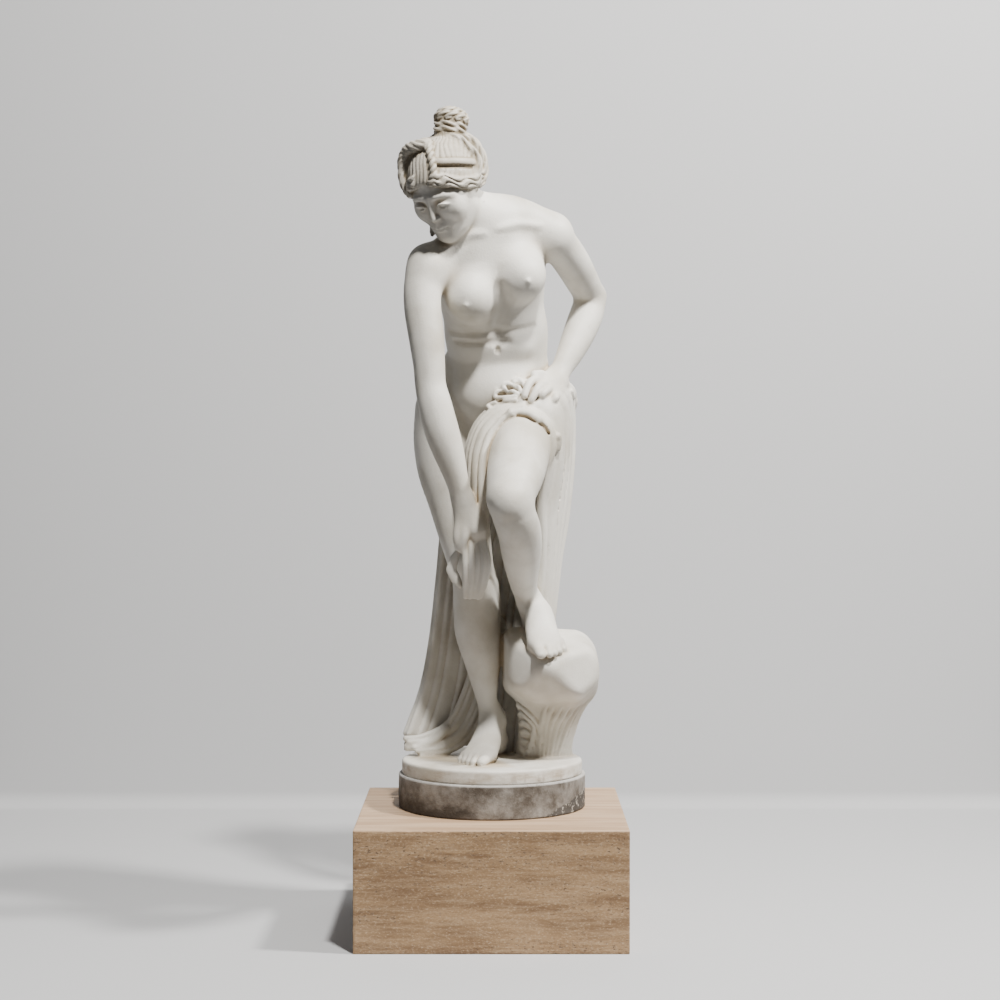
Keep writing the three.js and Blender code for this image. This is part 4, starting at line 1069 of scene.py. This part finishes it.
def in_the_hand(clay):
    """The end of the cloth that hangs from the right hand."""
    core = [
        [-40, -148, 572, 20, 9],
        [-37, -146, 510, 24, 11],
        [-42, -132, 450, 20, 9],
        [-44, -122, 428, 17, 8],
    ]
    clay.add(limb(core), 6)
    # Its folds, each by its place across at the hand, half way down and at the foot.
    t = np.linspace(0, 1, 13)
    for top, half, low, radius in (
        (-62, -61, -60, 7.0),
        (-51, -46, -50, 8.0),
        (-40, -32, -40, 7.0),
        (-31, -18, -31, 8.5),
        (-24, -7, -25, 6.5),
    ):
        path = [
            [top, -164, 580],
            [half, -163 + 0.1 * half, 506],
            [0.5 * (half + low), -148, 452],
            [low, -130, 421],
        ]
        clay.add(chain(curve(path, t), radius * (0.75 + 0.3 * np.sin(np.pi * t))), 2)
    flap = [[-74, -150, 536], [-86, -146, 508], [-93, -142, 484], [-82, -138, 462], [-70, -136, 446]]
    clay.add(chain(flap, [[4, 4], [11, 4.5], [12, 4], [12, 4.5], [6, 4]]), 4)


def carved():
    """The whole marble as clay. Grid lines are closer together round the head."""

    def spaced(low, high, fine_low, fine_high):
        """Grid lines from low to high, closer from fine_low to fine_high."""
        before = np.arange(low, fine_low, GRID_STEP)
        fine = np.arange(fine_low, fine_high, HEAD_STEP)
        after = np.arange(fine_high, high + GRID_STEP, GRID_STEP)
        return np.concatenate([before, fine, after])

    clay = Clay(spaced(-232, 292, -190, 0), spaced(-352, 236, -322, -96), spaced(-9, 1560, 1244, 1554))
    trunk(clay)
    legs(clay)
    arms(clay)
    boulder(clay)
    trunk_modelling(clay)
    foot(clay, Frame([12, 78, 30], [-0.28, -1, 0], [0, 0, 1]), 1)
    foot(clay, Frame([92, 30, 338], [0.2, -0.945, -0.255], [0.054, -0.255, 0.966]), -1, (-13, 82, 22, 26))
    over_the_thigh(clay)
    down_the_back(clay)
    in_the_hand(clay)
    hands(clay)
    head(clay)
    clay.add([Disc(GROUND_RADIUS, -40, GROUND_THICKNESS, GROUND_ROUNDING)], 3)
    # The flat underside, and nothing past the outer faces of the grid.
    clay.field = np.maximum(clay.field, -clay.lines[2][:, None, None])
    for axis in range(3):
        for end in (0, -1):
            edge = [slice(None)] * 3
            edge[axis] = end
            clay.field[tuple(edge)] = np.maximum(clay.field[tuple(edge)], 1.0)
    return clay


def skin(clay):
    """Surface net: one vertex in each cell that the surface crosses, the mean of its edge crossings."""
    f = clay.field
    inside = f < 0
    cells = np.zeros([n - 1 for n in f.shape], np.uint8)
    corners = [(a, b, c) for a in (0, 1) for b in (0, 1) for c in (0, 1)]
    shape = cells.shape
    for a, b, c in corners:
        cells += inside[a : a + shape[0], b : b + shape[1], c : c + shape[2]]
    k, j, i = np.nonzero((cells > 0) & (cells < 8))
    number = np.full(shape, -1, np.int32)
    number[k, j, i] = np.arange(len(k))
    total = np.zeros((len(k), 3))
    hits = np.zeros(len(k))
    for first in corners:
        for axis in range(3):
            if first[axis]:
                continue
            second = list(first)
            second[axis] = 1
            fa = f[k + first[0], j + first[1], i + first[2]]
            fb = f[k + second[0], j + second[1], i + second[2]]
            crossed = (fa < 0) != (fb < 0)
            t = np.where(crossed, fa / np.where(crossed, fa - fb, 1), 0)
            place = np.array(first, float)[None, :].repeat(len(k), 0)
            place[:, axis] = t
            total += place * crossed[:, None]
            hits += crossed
    part = total / hits[:, None]
    points = np.empty((len(k), 3))
    for axis, (cell, lines) in enumerate(zip((i, j, k), clay.lines)):
        here = part[:, 2 - axis]
        points[:, axis] = lines[cell] * (1 - here) + lines[cell + 1] * here
    quads = []
    # Each grid edge that crosses the surface joins the four cells round it.
    for axis in range(3):
        ahead = [slice(None)] * 3
        behind = [slice(None)] * 3
        ahead[axis] = slice(1, None)
        behind[axis] = slice(None, -1)
        for leaving in (True, False):
            edge = inside[tuple(behind)] & ~inside[tuple(ahead)]
            if not leaving:
                edge = ~inside[tuple(behind)] & inside[tuple(ahead)]
            place = np.stack(np.nonzero(edge), axis=1)
            others = [a for a in (2, 1, 0) if a != axis]
            if axis == 1:
                others = others[::-1]
            ring = []
            for back in ((1, 1), (0, 1), (0, 0), (1, 0)):
                cell = place.copy()
                cell[:, others[0]] -= back[0]
                cell[:, others[1]] -= back[1]
                ring.append(number[cell[:, 0], cell[:, 1], cell[:, 2]])
            quads.append(np.stack(ring if leaving else ring[::-1], axis=1))
    return points, np.concatenate(quads)


def largest(points, quads):
    """Keeps the largest joined piece: each vertex takes the least number of those it is joined to."""
    label = np.arange(len(points))
    a, b = quads[:, [0, 1, 2]].ravel(), quads[:, [1, 2, 3]].ravel()
    while True:
        before = label.copy()
        least = np.minimum(label[a], label[b])
        np.minimum.at(label, a, least)
        np.minimum.at(label, b, least)
        label = label[label]
        if np.array_equal(before, label):
            break
    kept = label == np.bincount(label).argmax()
    fresh = np.cumsum(kept) - 1
    return points[kept], fresh[quads[kept[quads[:, 0]]]]


def mesh_object(name, points, faces):
    """A smooth object from vertex places in metres and faces of three or four corners."""
    mesh = bpy.data.meshes.new(name)
    mesh.vertices.add(len(points))
    mesh.vertices.foreach_set("co", np.ascontiguousarray(points, np.float32).ravel())
    faces = np.asarray(faces)
    mesh.loops.add(faces.size)
    mesh.loops.foreach_set("vertex_index", faces.ravel().astype(np.int32))
    mesh.polygons.add(len(faces))
    mesh.polygons.foreach_set("loop_start", np.arange(0, faces.size, faces.shape[1], dtype=np.int32))
    mesh.polygons.foreach_set("loop_total", np.full(len(faces), faces.shape[1], np.int32))
    mesh.update(calc_edges=True)
    mesh.polygons.foreach_set("use_smooth", np.full(len(faces), True))
    obj = bpy.data.objects.new(name, mesh)
    bpy.context.scene.collection.objects.link(obj)
    return obj


def write_value(mesh, name, values):
    """Stores one number at each vertex, for the finishes."""
    layer =mesh.attributes.new(name, "FLOAT", "POINT")
    layer.data.foreach_set("value", np.ascontiguousarray(values, np.float32))


def triangles_of(points, quads):
    """Splits each quad along its shorter diagonal."""
    a, b, c, d = (points[quads[:, n]] for n in range(4))
    straight = np.sum((a - c) ** 2, axis=1) <= np.sum((b - d) ** 2, axis=1)
    one, other = quads[straight], quads[~straight]
    halves = [one[:, [0, 1, 2]], one[:, [0, 2, 3]], other[:, [0, 1, 3]], other[:, [1, 2, 3]]]
    return np.concatenate(halves)


def thinned(obj, triangles):
    """Brings a mesh of triangles down to a number of them."""
    lighter = obj.modifiers.new("lighter", "DECIMATE")
    lighter.ratio = min(1.0, triangles / len(obj.data.polygons))
    shown = obj.evaluated_get(bpy.context.evaluated_depsgraph_get())
    mesh = bpy.data.meshes.new_from_object(shown)
    obj.modifiers.clear()
    obj.data = mesh
    return obj


def vertices_of(mesh):
    """Places of a mesh's vertices as rows."""
    places =np.zeros(len(mesh.vertices) * 3, np.float32)
    mesh.vertices.foreach_get("co", places)
    return places.reshape(-1, 3).astype(float)


def softened(solid, cells):
    """Mean over a cube of 2 cells + 1 grid points a side, by running sums along each axis."""
    out = solid.astype(np.float32)
    for axis in range(3):
        pad = [(0, 0)] * 3
        pad[axis] = (cells + 1, cells)
        run = np.cumsum(np.pad(out, pad, mode="edge"), axis=axis, dtype=np.float32)
        low = [slice(None)] * 3
        high = [slice(None)] * 3
        low[axis] = slice(0, out.shape[axis])
        high[axis] = slice(2 * cells + 1, None)
        out = (run[tuple(high)] - run[tuple(low)]) / (2 * cells + 1)
    return out


def marble():
    """The carved marble as one mesh, with what its finish needs stored at the vertices."""
    clay = carved()
    points, quads = largest(*skin(clay))
    points = clay.lay(points, 0.0, most=1.5)
    # The underside is flat.
    low = points[:, 2] < 2.0
    flat = low & (np.hypot(points[:, 0], points[:, 1]) < GROUND_RADIUS - 3)
    points[flat, 2] = 0.0
    points[:, 2] = np.maximum(points[:, 2], 0.0)
    obj = thinned(mesh_object("marble", points, triangles_of(points, quads)), MARBLE_TRIANGLES)
    places = vertices_of(obj.data)
    obj.data.vertices.foreach_set("co", (places * MM + MARBLE_PLACE).astype(np.float32).ravel())
    obj.data.update()
    # How hollow the carving is at each vertex: the share of marble around it, near and wide. The finish
    # darkens the marble by these, partly as dirt and partly as painted shade.
    reach = clay.slope(places, 4.0)
    near = clay.at(places + 5 * reach)
    write_value(obj.data, "crease", np.clip(1 - near / 5, 0, 1))
    clay.field = softened(clay.field < 0, 5)
    write_value(obj.data, "hollow", np.clip((clay.at(places) - 0.42) / 0.4, 0, 1))
    # Which vertices are hair: above the hairline and off the skull, or up on the knot.
    turn, rise, q = over_the_skull(*places.T)
    share = np.linalg.norm(q, axis=0)
    hair_part = smooth((rise - hairline(turn) + 3) / 5) * smooth((share - 1.0) / 0.03)
    hair_part = np.maximum(hair_part, places[:, 2] > KNOT[2] + 20) * (places[:, 2] > 1290) * (share < 2.2)
    write_value(obj.data, "hair", hair_part)
    return obj


def ripple(points, size, seed):
    """Rolling unevenness, mostly from -1 to 1: sines with random directions, near size long, added
    up and taken over twice the root of half their number."""
    rng = np.random.default_rng(seed)
    total = np.zeros(len(points))
    for _ in range(SINES):
        direction = unit(rng.normal(size=3)) * (2 * np.pi / (size * rng.uniform(0.6, 1.7)))
        total += np.sin(points @ direction + rng.uniform(0, 2 * np.pi))
    return total / math.sqrt(SINES / 2) / 2


def grid_faces(rows, columns, closed):
    """Quads between rows of points; closed joins the last column to the first."""
    number = np.arange(rows * columns).reshape(rows, columns)
    ahead = np.roll(number, -1, axis=1)
    if not closed:
        number, ahead = number[:, :-1], ahead[:, :-1]
    return np.stack([number[:-1], ahead[:-1], ahead[1:], number[1:]], axis=-1).reshape(-1, 4)


def socle():
    """A turned disc: radius and height from a profile, worn in at the arrises and a little all over."""
    radius = (SOCLE_HIGH.x - SOCLE_LOW.x) / 2
    height = SOCLE_HIGH.z - SOCLE_LOW.z
    arris = 4 * MM
    corner = [(math.sin(a), 1 - math.cos(a)) for a in np.linspace(0, math.pi / 2, 5)]
    profile = [(radius * r, 0.0) for r in np.linspace(0.02, 0.96, 10)]
    profile += [(radius - arris + arris * s, arris * c) for s, c in corner]
    profile += [(radius, z) for z in np.linspace(arris, height - arris, 26)[1:-1]]
    profile += [(radius - arris * c, height - arris + arris * s) for s, c in corner]
    profile += [(radius * r, height) for r in np.linspace(0.96, 0.02, 14)]
    profile = np.array(profile)
    turn = np.linspace(0, 2 * np.pi, 480, endpoint=False)
    r, z = profile[:, :1], profile[:, 1:]
    ring = np.stack([r * np.cos(turn), r * np.sin(turn), z + 0 * turn], axis=-1).reshape(-1, 3)
    edge = np.clip(1 - np.abs(ring[:, 2] - height) / (2.5 * arris), 0, 1)
    edge = np.maximum(edge, np.clip(1 - ring[:, 2] / (2 * arris), 0, 1))
    rim = np.clip((np.hypot(ring[:, 0], ring[:, 1]) / radius - 0.9) * 12, 0, 1)
    wear = 0.5 * MM * (1 + ripple(ring, 0.03, 3)) * rim
    chip = np.clip(ripple(ring, 0.05, 5) + 0.25 * ripple(ring, 0.012, 6) - 0.35, 0, 1)
    wear += edge * rim * 2.2 * MM * chip
    pull = 1 - wear / np.maximum(np.hypot(ring[:, 0], ring[:, 1]), 1e-6)
    ring[:, :2] *= pull[:, None]
    faces = grid_faces(len(profile), len(turn), True)
    obj = capped("socle", ring, faces, len(turn))
    place_at(obj, [(SOCLE_LOW.x + SOCLE_HIGH.x) / 2, (SOCLE_LOW.y + SOCLE_HIGH.y) / 2, SOCLE_LOW.z])
    return obj


def capped(name, ring, faces, columns):
    """Closes both ends of a turned surface with a point in the middle."""
    first = ring[:columns].mean(axis=0)
    last = ring[-columns:].mean(axis=0)
    points = np.vstack([ring, first, last])
    here = np.arange(columns)
    ahead = np.roll(here, -1)
    base = len(ring)
    top = base - columns
    low = np.stack([ahead, here, np.full(columns, base)], axis=1)
    high = np.stack([top + here, top + ahead, np.full(columns, base + 1)], axis=1)
    split = np.concatenate([faces[:, [0, 1, 2]], faces[:, [0, 2, 3]]])
    return mesh_object(name, points, np.concatenate([split, low, high]))


def place_at(obj, place):
    """Moves the mesh itself, so that the object stays at the origin."""
    places = vertices_of(obj.data) + np.asarray(place, float)
    obj.data.vertices.foreach_set("co", places.astype(np.float32).ravel())
    obj.data.update()


def travertine():
    """A box of six gridded faces with eased arrises, chipped here and there."""
    low, high = np.array(BLOCK_LOW), np.array(BLOCK_HIGH)
    middle, half = (low + high) / 2, (high - low) / 2
    arris = 2.0 * MM
    counts = np.round((high - low) / (4.0 * MM)).astype(int)
    inset = 1 - 0.004
    rows = [np.concatenate([[-1], np.linspace(-inset, inset, count), [1]]) for count in counts]
    points, faces, start = [], [], 0
    for axis in range(3):
        u, v = [a for a in range(3) if a != axis]
        for sign in (-1, 1):
            a, b = rows[u], rows[v]
            side = np.zeros((len(b), len(a), 3))
            side[..., u] = a[None, :] * half[u]
            side[..., v] = b[:, None] * half[v]
            side[..., axis] = sign * half[axis]
            quads = grid_faces(len(b), len(a), False)
            if (sign > 0) == (axis == 1):
                quads = quads[:, ::-1]
            points.append(side.reshape(-1, 3))
            faces.append(quads + start)
            start += len(a) * len(b)
    points, faces = np.concatenate(points), np.concatenate(faces)
    # The arris is rounded by pulling each point in to the eased box: c + (p - c) r / |p - c|.
    core = np.clip(points, -half + arris, half - arris)
    away = points - core
    length = np.linalg.norm(away, axis=1)
    chip = np.clip(ripple(points, 0.02, 11) + 0.5 * ripple(points, 0.006, 12) - 0.5, 0, 1) * 1.6 * MM
    chip *= np.sum(np.abs(points) > half - 3 * MM, axis=1) >= 2
    points = core + away * ((arris - chip) / np.maximum(length, 1e-9))[:, None]
    obj = mesh_object("travertine", points + middle, faces)
    weld(obj)
    return obj


def weld(obj):
    """Joins vertices that share a place, so that the box is one closed surface."""
    mesh = bmesh.new()
    mesh.from_mesh(obj.data)
    bmesh.ops.remove_doubles(mesh, verts=mesh.verts, dist=1e-5)
    mesh.to_mesh(obj.data)
    mesh.free()


class Value:
    """A number of a shader that can be added, taken away, multiplied and divided."""

    def __init__(self, finish, socket):
        self.finish = finish
        self.socket = socket

    def joined(self, operation, other, swap=False, clamp=False):
        """A math node over this number and another, which comes first where swapped."""
        pair = (other, self) if swap else (self, other)
        settings = {"operation": operation, "use_clamp": clamp}
        return self.finish.node("ShaderNodeMath", settings, {0: pair[0], 1: pair[1]})

    def __add__(self, other):
        return self.joined("ADD", other)

    __radd__ = __add__

    def __mul__(self, other):
        return self.joined("MULTIPLY", other)

    __rmul__ = __mul__

    def __sub__(self, other):
        return self.joined("SUBTRACT", other)

    def __rsub__(self, other):
        return self.joined("SUBTRACT", other, swap=True)

    def __truediv__(self, other):
        return self.joined("DIVIDE", other)

    def clamped(self):
        """The number kept from 0 to 1."""
        return self.joined("ADD", 0.0, clamp=True)

    def between(self, low, high):
        """0 at low and 1 at high, smooth between."""
        settings = {"interpolation_type": "SMOOTHSTEP"}
        return self.finish.node("ShaderNodeMapRange", settings, {0: self, 1: low, 2: high})


class Finish:
    """A material with a Principled shader, and short ways to make its nodes."""

    def __init__(self, name, colour, roughness):
        self.material = bpy.data.materials.new(name)
        self.material.use_nodes = True
        self.tree = self.material.node_tree
        self.shader = self.tree.nodes["Principled BSDF"]
        self.shader.inputs["Base Color"].default_value = (*colour, 1)
        self.shader.inputs["Roughness"].default_value = roughness
        self.place = self.node("ShaderNodeTexCoord", {}, {}, "Object")

    def node(self, kind, settings, inputs, output=0):
        """A node with its settings and its inputs, each a number of a shader or a plain value."""
        made = self.tree.nodes.new(kind)
        for key, value in settings.items():
            setattr(made, key, value)
        for key, value in inputs.items():
            socket = made.inputs[key]
            if isinstance(value, Value):
                self.tree.links.new(value.socket, socket)
            elif isinstance(value, tuple) and len(value) == 3 and socket.type == "RGBA":
                socket.default_value = (*value, 1)
            else:
                socket.default_value = value
        return Value(self, made.outputs[output])

    def noise(self, scale, detail, rough=0.55, stretch=(1, 1, 1)):
        """Noise near 1 / scale metres long, closer along an axis by its stretch."""
        place =self.node("ShaderNodeMapping", {}, {"Vector": self.place, "Scale": stretch})
        inputs = {"Vector": place, "Scale": scale, "Detail": detail, "Roughness": rough}
        return self.node("ShaderNodeTexNoise", {}, inputs)

    def height(self):
        """The place's z."""
        return self.node("ShaderNodeSeparateXYZ", {}, {0: self.place}, "Z")

    def across(self):
        """The place's x."""
        return self.node("ShaderNodeSeparateXYZ", {}, {0: self.place}, "X")

    def painted(self, name):
        """The number stored at the vertices under a name."""
        return self.node("ShaderNodeAttribute", {"attribute_name": name}, {}, "Fac")

    def mixed(self, share, under, over):
        """One colour over another by a share."""
        return self.node("ShaderNodeMix", {"data_type": "RGBA"}, {0: share, 6: under, 7: over}, 2)

    def relief(self, height, depth):
        """A normal that rises by depth metres where height goes from 0 to 1."""
        inputs = {"Strength": 1.0, "Distance": depth, "Height": height}
        return self.node("ShaderNodeBump", {}, inputs)

    def wear(self, slot, value):
        """Joins a number, a colour or a normal to the shader."""
        self.tree.links.new(value.socket, self.shader.inputs[slot])


def marble_finish():
    """White marble with grey clouds; tan in the hollows and creases, partly dirt and partly painted shade;
    darker in the hair, with painted shade in its recesses, and at the foot.
    """
    finish = Finish("white marble", (0.76, 0.72, 0.65), 0.5)
    clouds = finish.noise(5.0, 5.0)
    spots = finish.noise(38.0, 6.0, 0.65)
    crease, hollow, hair = (finish.painted(n) for n in ("crease", "hollow", "hair"))
    colour = finish.mixed(clouds.between(0.38, 0.72), (0.72, 0.69, 0.625), (0.47, 0.43, 0.355))
    # Tan in the hollows and creases: partly dirt that gathers there, partly painted shade where the carving
    # is deep.
    tan = (hollow.between(0.2, 0.95) * 0.5 + crease.between(0.05, 0.7) * 0.65) * (clouds * 1.1 + 0.3)
    colour = finish.mixed(tan.clamped(), colour, (0.42, 0.345, 0.245))
    # The hair is darker in its own soiled tone. The crease and hollow terms darken its recesses further,
    # partly as dirt and partly as painted shade.
    grey = hair * (0.42 + crease.between(0.0, 0.5) * 0.8 + hollow * 0.5 + spots.between(0.4, 0.7) * 0.2)
    colour = finish.mixed(grey.clamped(), colour, (0.25, 0.205, 0.14))
    # Brown streaks on the side of the ground.
    top = MARBLE_PLACE[2] + GROUND_THICKNESS * MM
    below = 1 - finish.height().between(top - 0.014, top + 0.004)
    side = below * finish.noise(16.0, 6.0, 0.6, (1, 1, 2.5)).between(0.38, 0.72)
    colour = finish.mixed((side * 0.75).clamped(), colour, (0.30, 0.215, 0.13))
    finish.wear("Base Color", colour)
    finish.wear("Roughness", (0.42 + spots * 0.2 + hollow * 0.15).clamped())
    finish.wear("Normal", finish.relief(finish.noise(220.0, 6.0, 0.6), 0.0006))
    return finish.material


def socle_finish():
    """Weathered grey stone with dark stains, painted shade low on the left, darker towards the bottom, a pale
    crust and a pale upper rim.
    """
    finish = Finish("grey stone", (0.2, 0.18, 0.155), 0.8)
    base = finish.noise(11.0, 7.0, 0.62)
    fine = finish.noise(90.0, 6.0, 0.7)
    colour = finish.mixed(base.between(0.3, 0.7), (0.055, 0.042, 0.03), (0.31, 0.29, 0.262))
    colour = finish.mixed(fine.between(0.5, 0.8) * 0.4, colour, (0.42, 0.39, 0.35))
    height = (finish.height() - SOCLE_LOW.z) / (SOCLE_HIGH.z - SOCLE_LOW.z)
    ragged = finish.noise(20.0, 7.0, 0.7, (1, 1, 1.6))
    # A dark patch low on the left, partly a stain and partly painted shade on the side away from the lamps,
    # and a jagged stain with a light crust on the right.
    left = 1 - (finish.across() + ragged * 0.3).between(0.03, 0.17)
    dark = left * (1 - (height + ragged * 0.9).between(0.55, 1.15))
    colour = finish.mixed((dark * 0.9).clamped(), colour, (0.03, 0.022, 0.015))
    rise = finish.across().between(0.09, 0.235) * 0.62
    under = 1 - (height + ragged * 0.35 - rise).between(0.10, 0.16)
    colour = finish.mixed((under * 0.85).clamped(), colour, (0.042, 0.038, 0.034))
    crust = under * finish.noise(60.0, 5.0, 0.7).between(0.53, 0.62)
    colour = finish.mixed((crust * 0.8).clamped(), colour, (0.46, 0.43, 0.38))
    # Darker towards the bottom.
    foot = 1 - (height + ragged * 0.16).between(0.06, 0.16)
    colour = finish.mixed((foot * 0.7).clamped(), colour, (0.035, 0.03, 0.026))
    rim = height.between(0.93, 0.965) * fine.between(0.25, 0.5)
    colour = finish.mixed((rim * 0.6).clamped(), colour, (0.52, 0.50, 0.47))
    finish.wear("Base Color", colour)
    finish.wear("Roughness", (0.7 + fine * 0.25).clamped())
    finish.wear("Normal", finish.relief(fine, 0.0016))
    return finish.material


def travertine_finish():
    """Level brown beds with a light speckle and small dark pores."""
    finish = Finish("travertine", (0.46, 0.34, 0.22), 0.6)
    bands = finish.noise(7.0, 7.0, 0.68, (0.6, 0.6, 3.4))
    thin = finish.noise(24.0, 7.0, 0.7, (0.4, 0.4, 4.0))
    grain = finish.noise(210.0, 5.0, 0.7, (0.7, 0.7, 1.4))
    colour = finish.mixed(bands.between(0.34, 0.66), (0.145, 0.078, 0.034), (0.32, 0.20, 0.10))
    colour = finish.mixed(thin.between(0.42, 0.70) * 0.5, colour, (0.44, 0.305, 0.175))
    colour = finish.mixed(grain.between(0.5, 0.72) * 0.45, colour, (0.62, 0.47, 0.31))
    colour = finish.mixed((1 - grain.between(0.3, 0.5)) * 0.45, colour, (0.16, 0.09, 0.045))
    # Small dark pores, longer than they are high, denser in some beds than in others.
    pores = finish.noise(170.0, 4.0, 0.6, (0.6, 0.6, 1.3)).between(0.60, 0.66)
    beds = finish.noise(6.0, 3.0, 0.5, (0.4, 0.4, 4.0)).between(0.40, 0.62)
    front = 1 - finish.height().between(BLOCK_HIGH.z - 0.004, BLOCK_HIGH.z - 0.001)
    # The top has long light streaks of its own, and it is paler partly as painted light on the face turned up
    # to the lamps.
    streaks = finish.noise(5.0, 7.0, 0.6, (0.5, 6.0, 1.0)).between(0.35, 0.65)
    top = finish.mixed(streaks, (0.38, 0.245, 0.145), (0.52, 0.365, 0.235))
    colour = finish.mixed((1 - front) * 0.9, colour, top)
    holes = (pores * beds * front).clamped()
    colour = finish.mixed((holes * 0.85).clamped(), colour, (0.10, 0.06, 0.035))
    finish.wear("Base Color", colour)
    finish.wear("Roughness", (0.5 + grain * 0.25).clamped())
    finish.wear("Normal", finish.relief(grain * 0.35 - holes, 0.0014))
    return finish.material


def sweep():
    """A pale floor that curves up into a wall behind."""
    turn = np.linspace(0, math.pi / 2, 13)
    bend = 0.05
    back = 1.6
    width = 3.5
    line = [(-0.9, 0.0), (0.0, 0.0)]
    line += [(back + bend * math.sin(a), bend - bend * math.cos(a)) for a in turn]
    line += [(back + bend, 3.4)]
    rows = np.array([[(x, y, z) for x in (-width / 2, width / 2)] for y, z in line]).reshape(-1, 3)
    obj = mesh_object("sweep", rows, grid_faces(len(line), 2, False))
    obj.data.materials.append(Finish("pale plaster", (0.50, 0.50, 0.505), 0.9).material)


def area_light(name, place, target, size, power, colour):
    """A square lamp at a place that faces a target."""
    light =bpy.data.lights.new(name, "AREA")
    light.size = size
    light.energy = power
    light.color = colour
    obj = bpy.data.objects.new(name, light)
    obj.location = place
    obj.rotation_euler = (Vector(target) - Vector(place)).to_track_quat("-Z", "Y").to_euler()
    bpy.context.scene.collection.objects.link(obj)


def studio():
    """The backdrop, two small warm lamps high on the right, a broad weak one, and the camera."""
    sweep()
    warm = (1.0, 0.985, 0.955)
    area_light("key", (0.9, -2.6, 5.0), (0, -0.1, 0.9), 0.35, 460, warm)
    area_light("side", (3.0, -1.0, 4.4), (0, -0.1, 0.9), 0.45, 400, warm)
    area_light("fill", (-2.8, -2.8, 1.8), (0, 0, 1.0), 3.2, 4, (0.95, 0.975, 1.0))
    world = bpy.data.worlds.new("room")
    world.use_nodes = True
    room = world.node_tree.nodes["Background"]
    room.inputs["Color"].default_value = (0.93, 0.95, 1.0, 1)
    room.inputs["Strength"].default_value = 0.09
    bpy.context.scene.world = world
    lens = bpy.data.cameras.new("camera")
    lens.lens = 76.2
    lens.sensor_width = 36.0
    lens.dof.use_dof = False
    camera = bpy.data.objects.new("camera", lens)
    camera.location = (0.019, -4.941, 1.0965)
    camera.rotation_euler = (math.radians(90 - 1.19), 0, 0)
    bpy.context.scene.collection.objects.link(camera)
    bpy.context.scene.camera = camera


def dressed(obj, material, node):
    """Gives a piece its finish and tells the frame what it rides on and replaces."""
    obj.data.materials.clear()
    obj.data.materials.append(material)
    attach(obj, "root")
    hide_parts(node)


dressed(marble(), marble_finish(), "marble_figure")
dressed(socle(), socle_finish(), "grey_socle")
dressed(travertine(), travertine_finish(), "travertine_block")
studio()
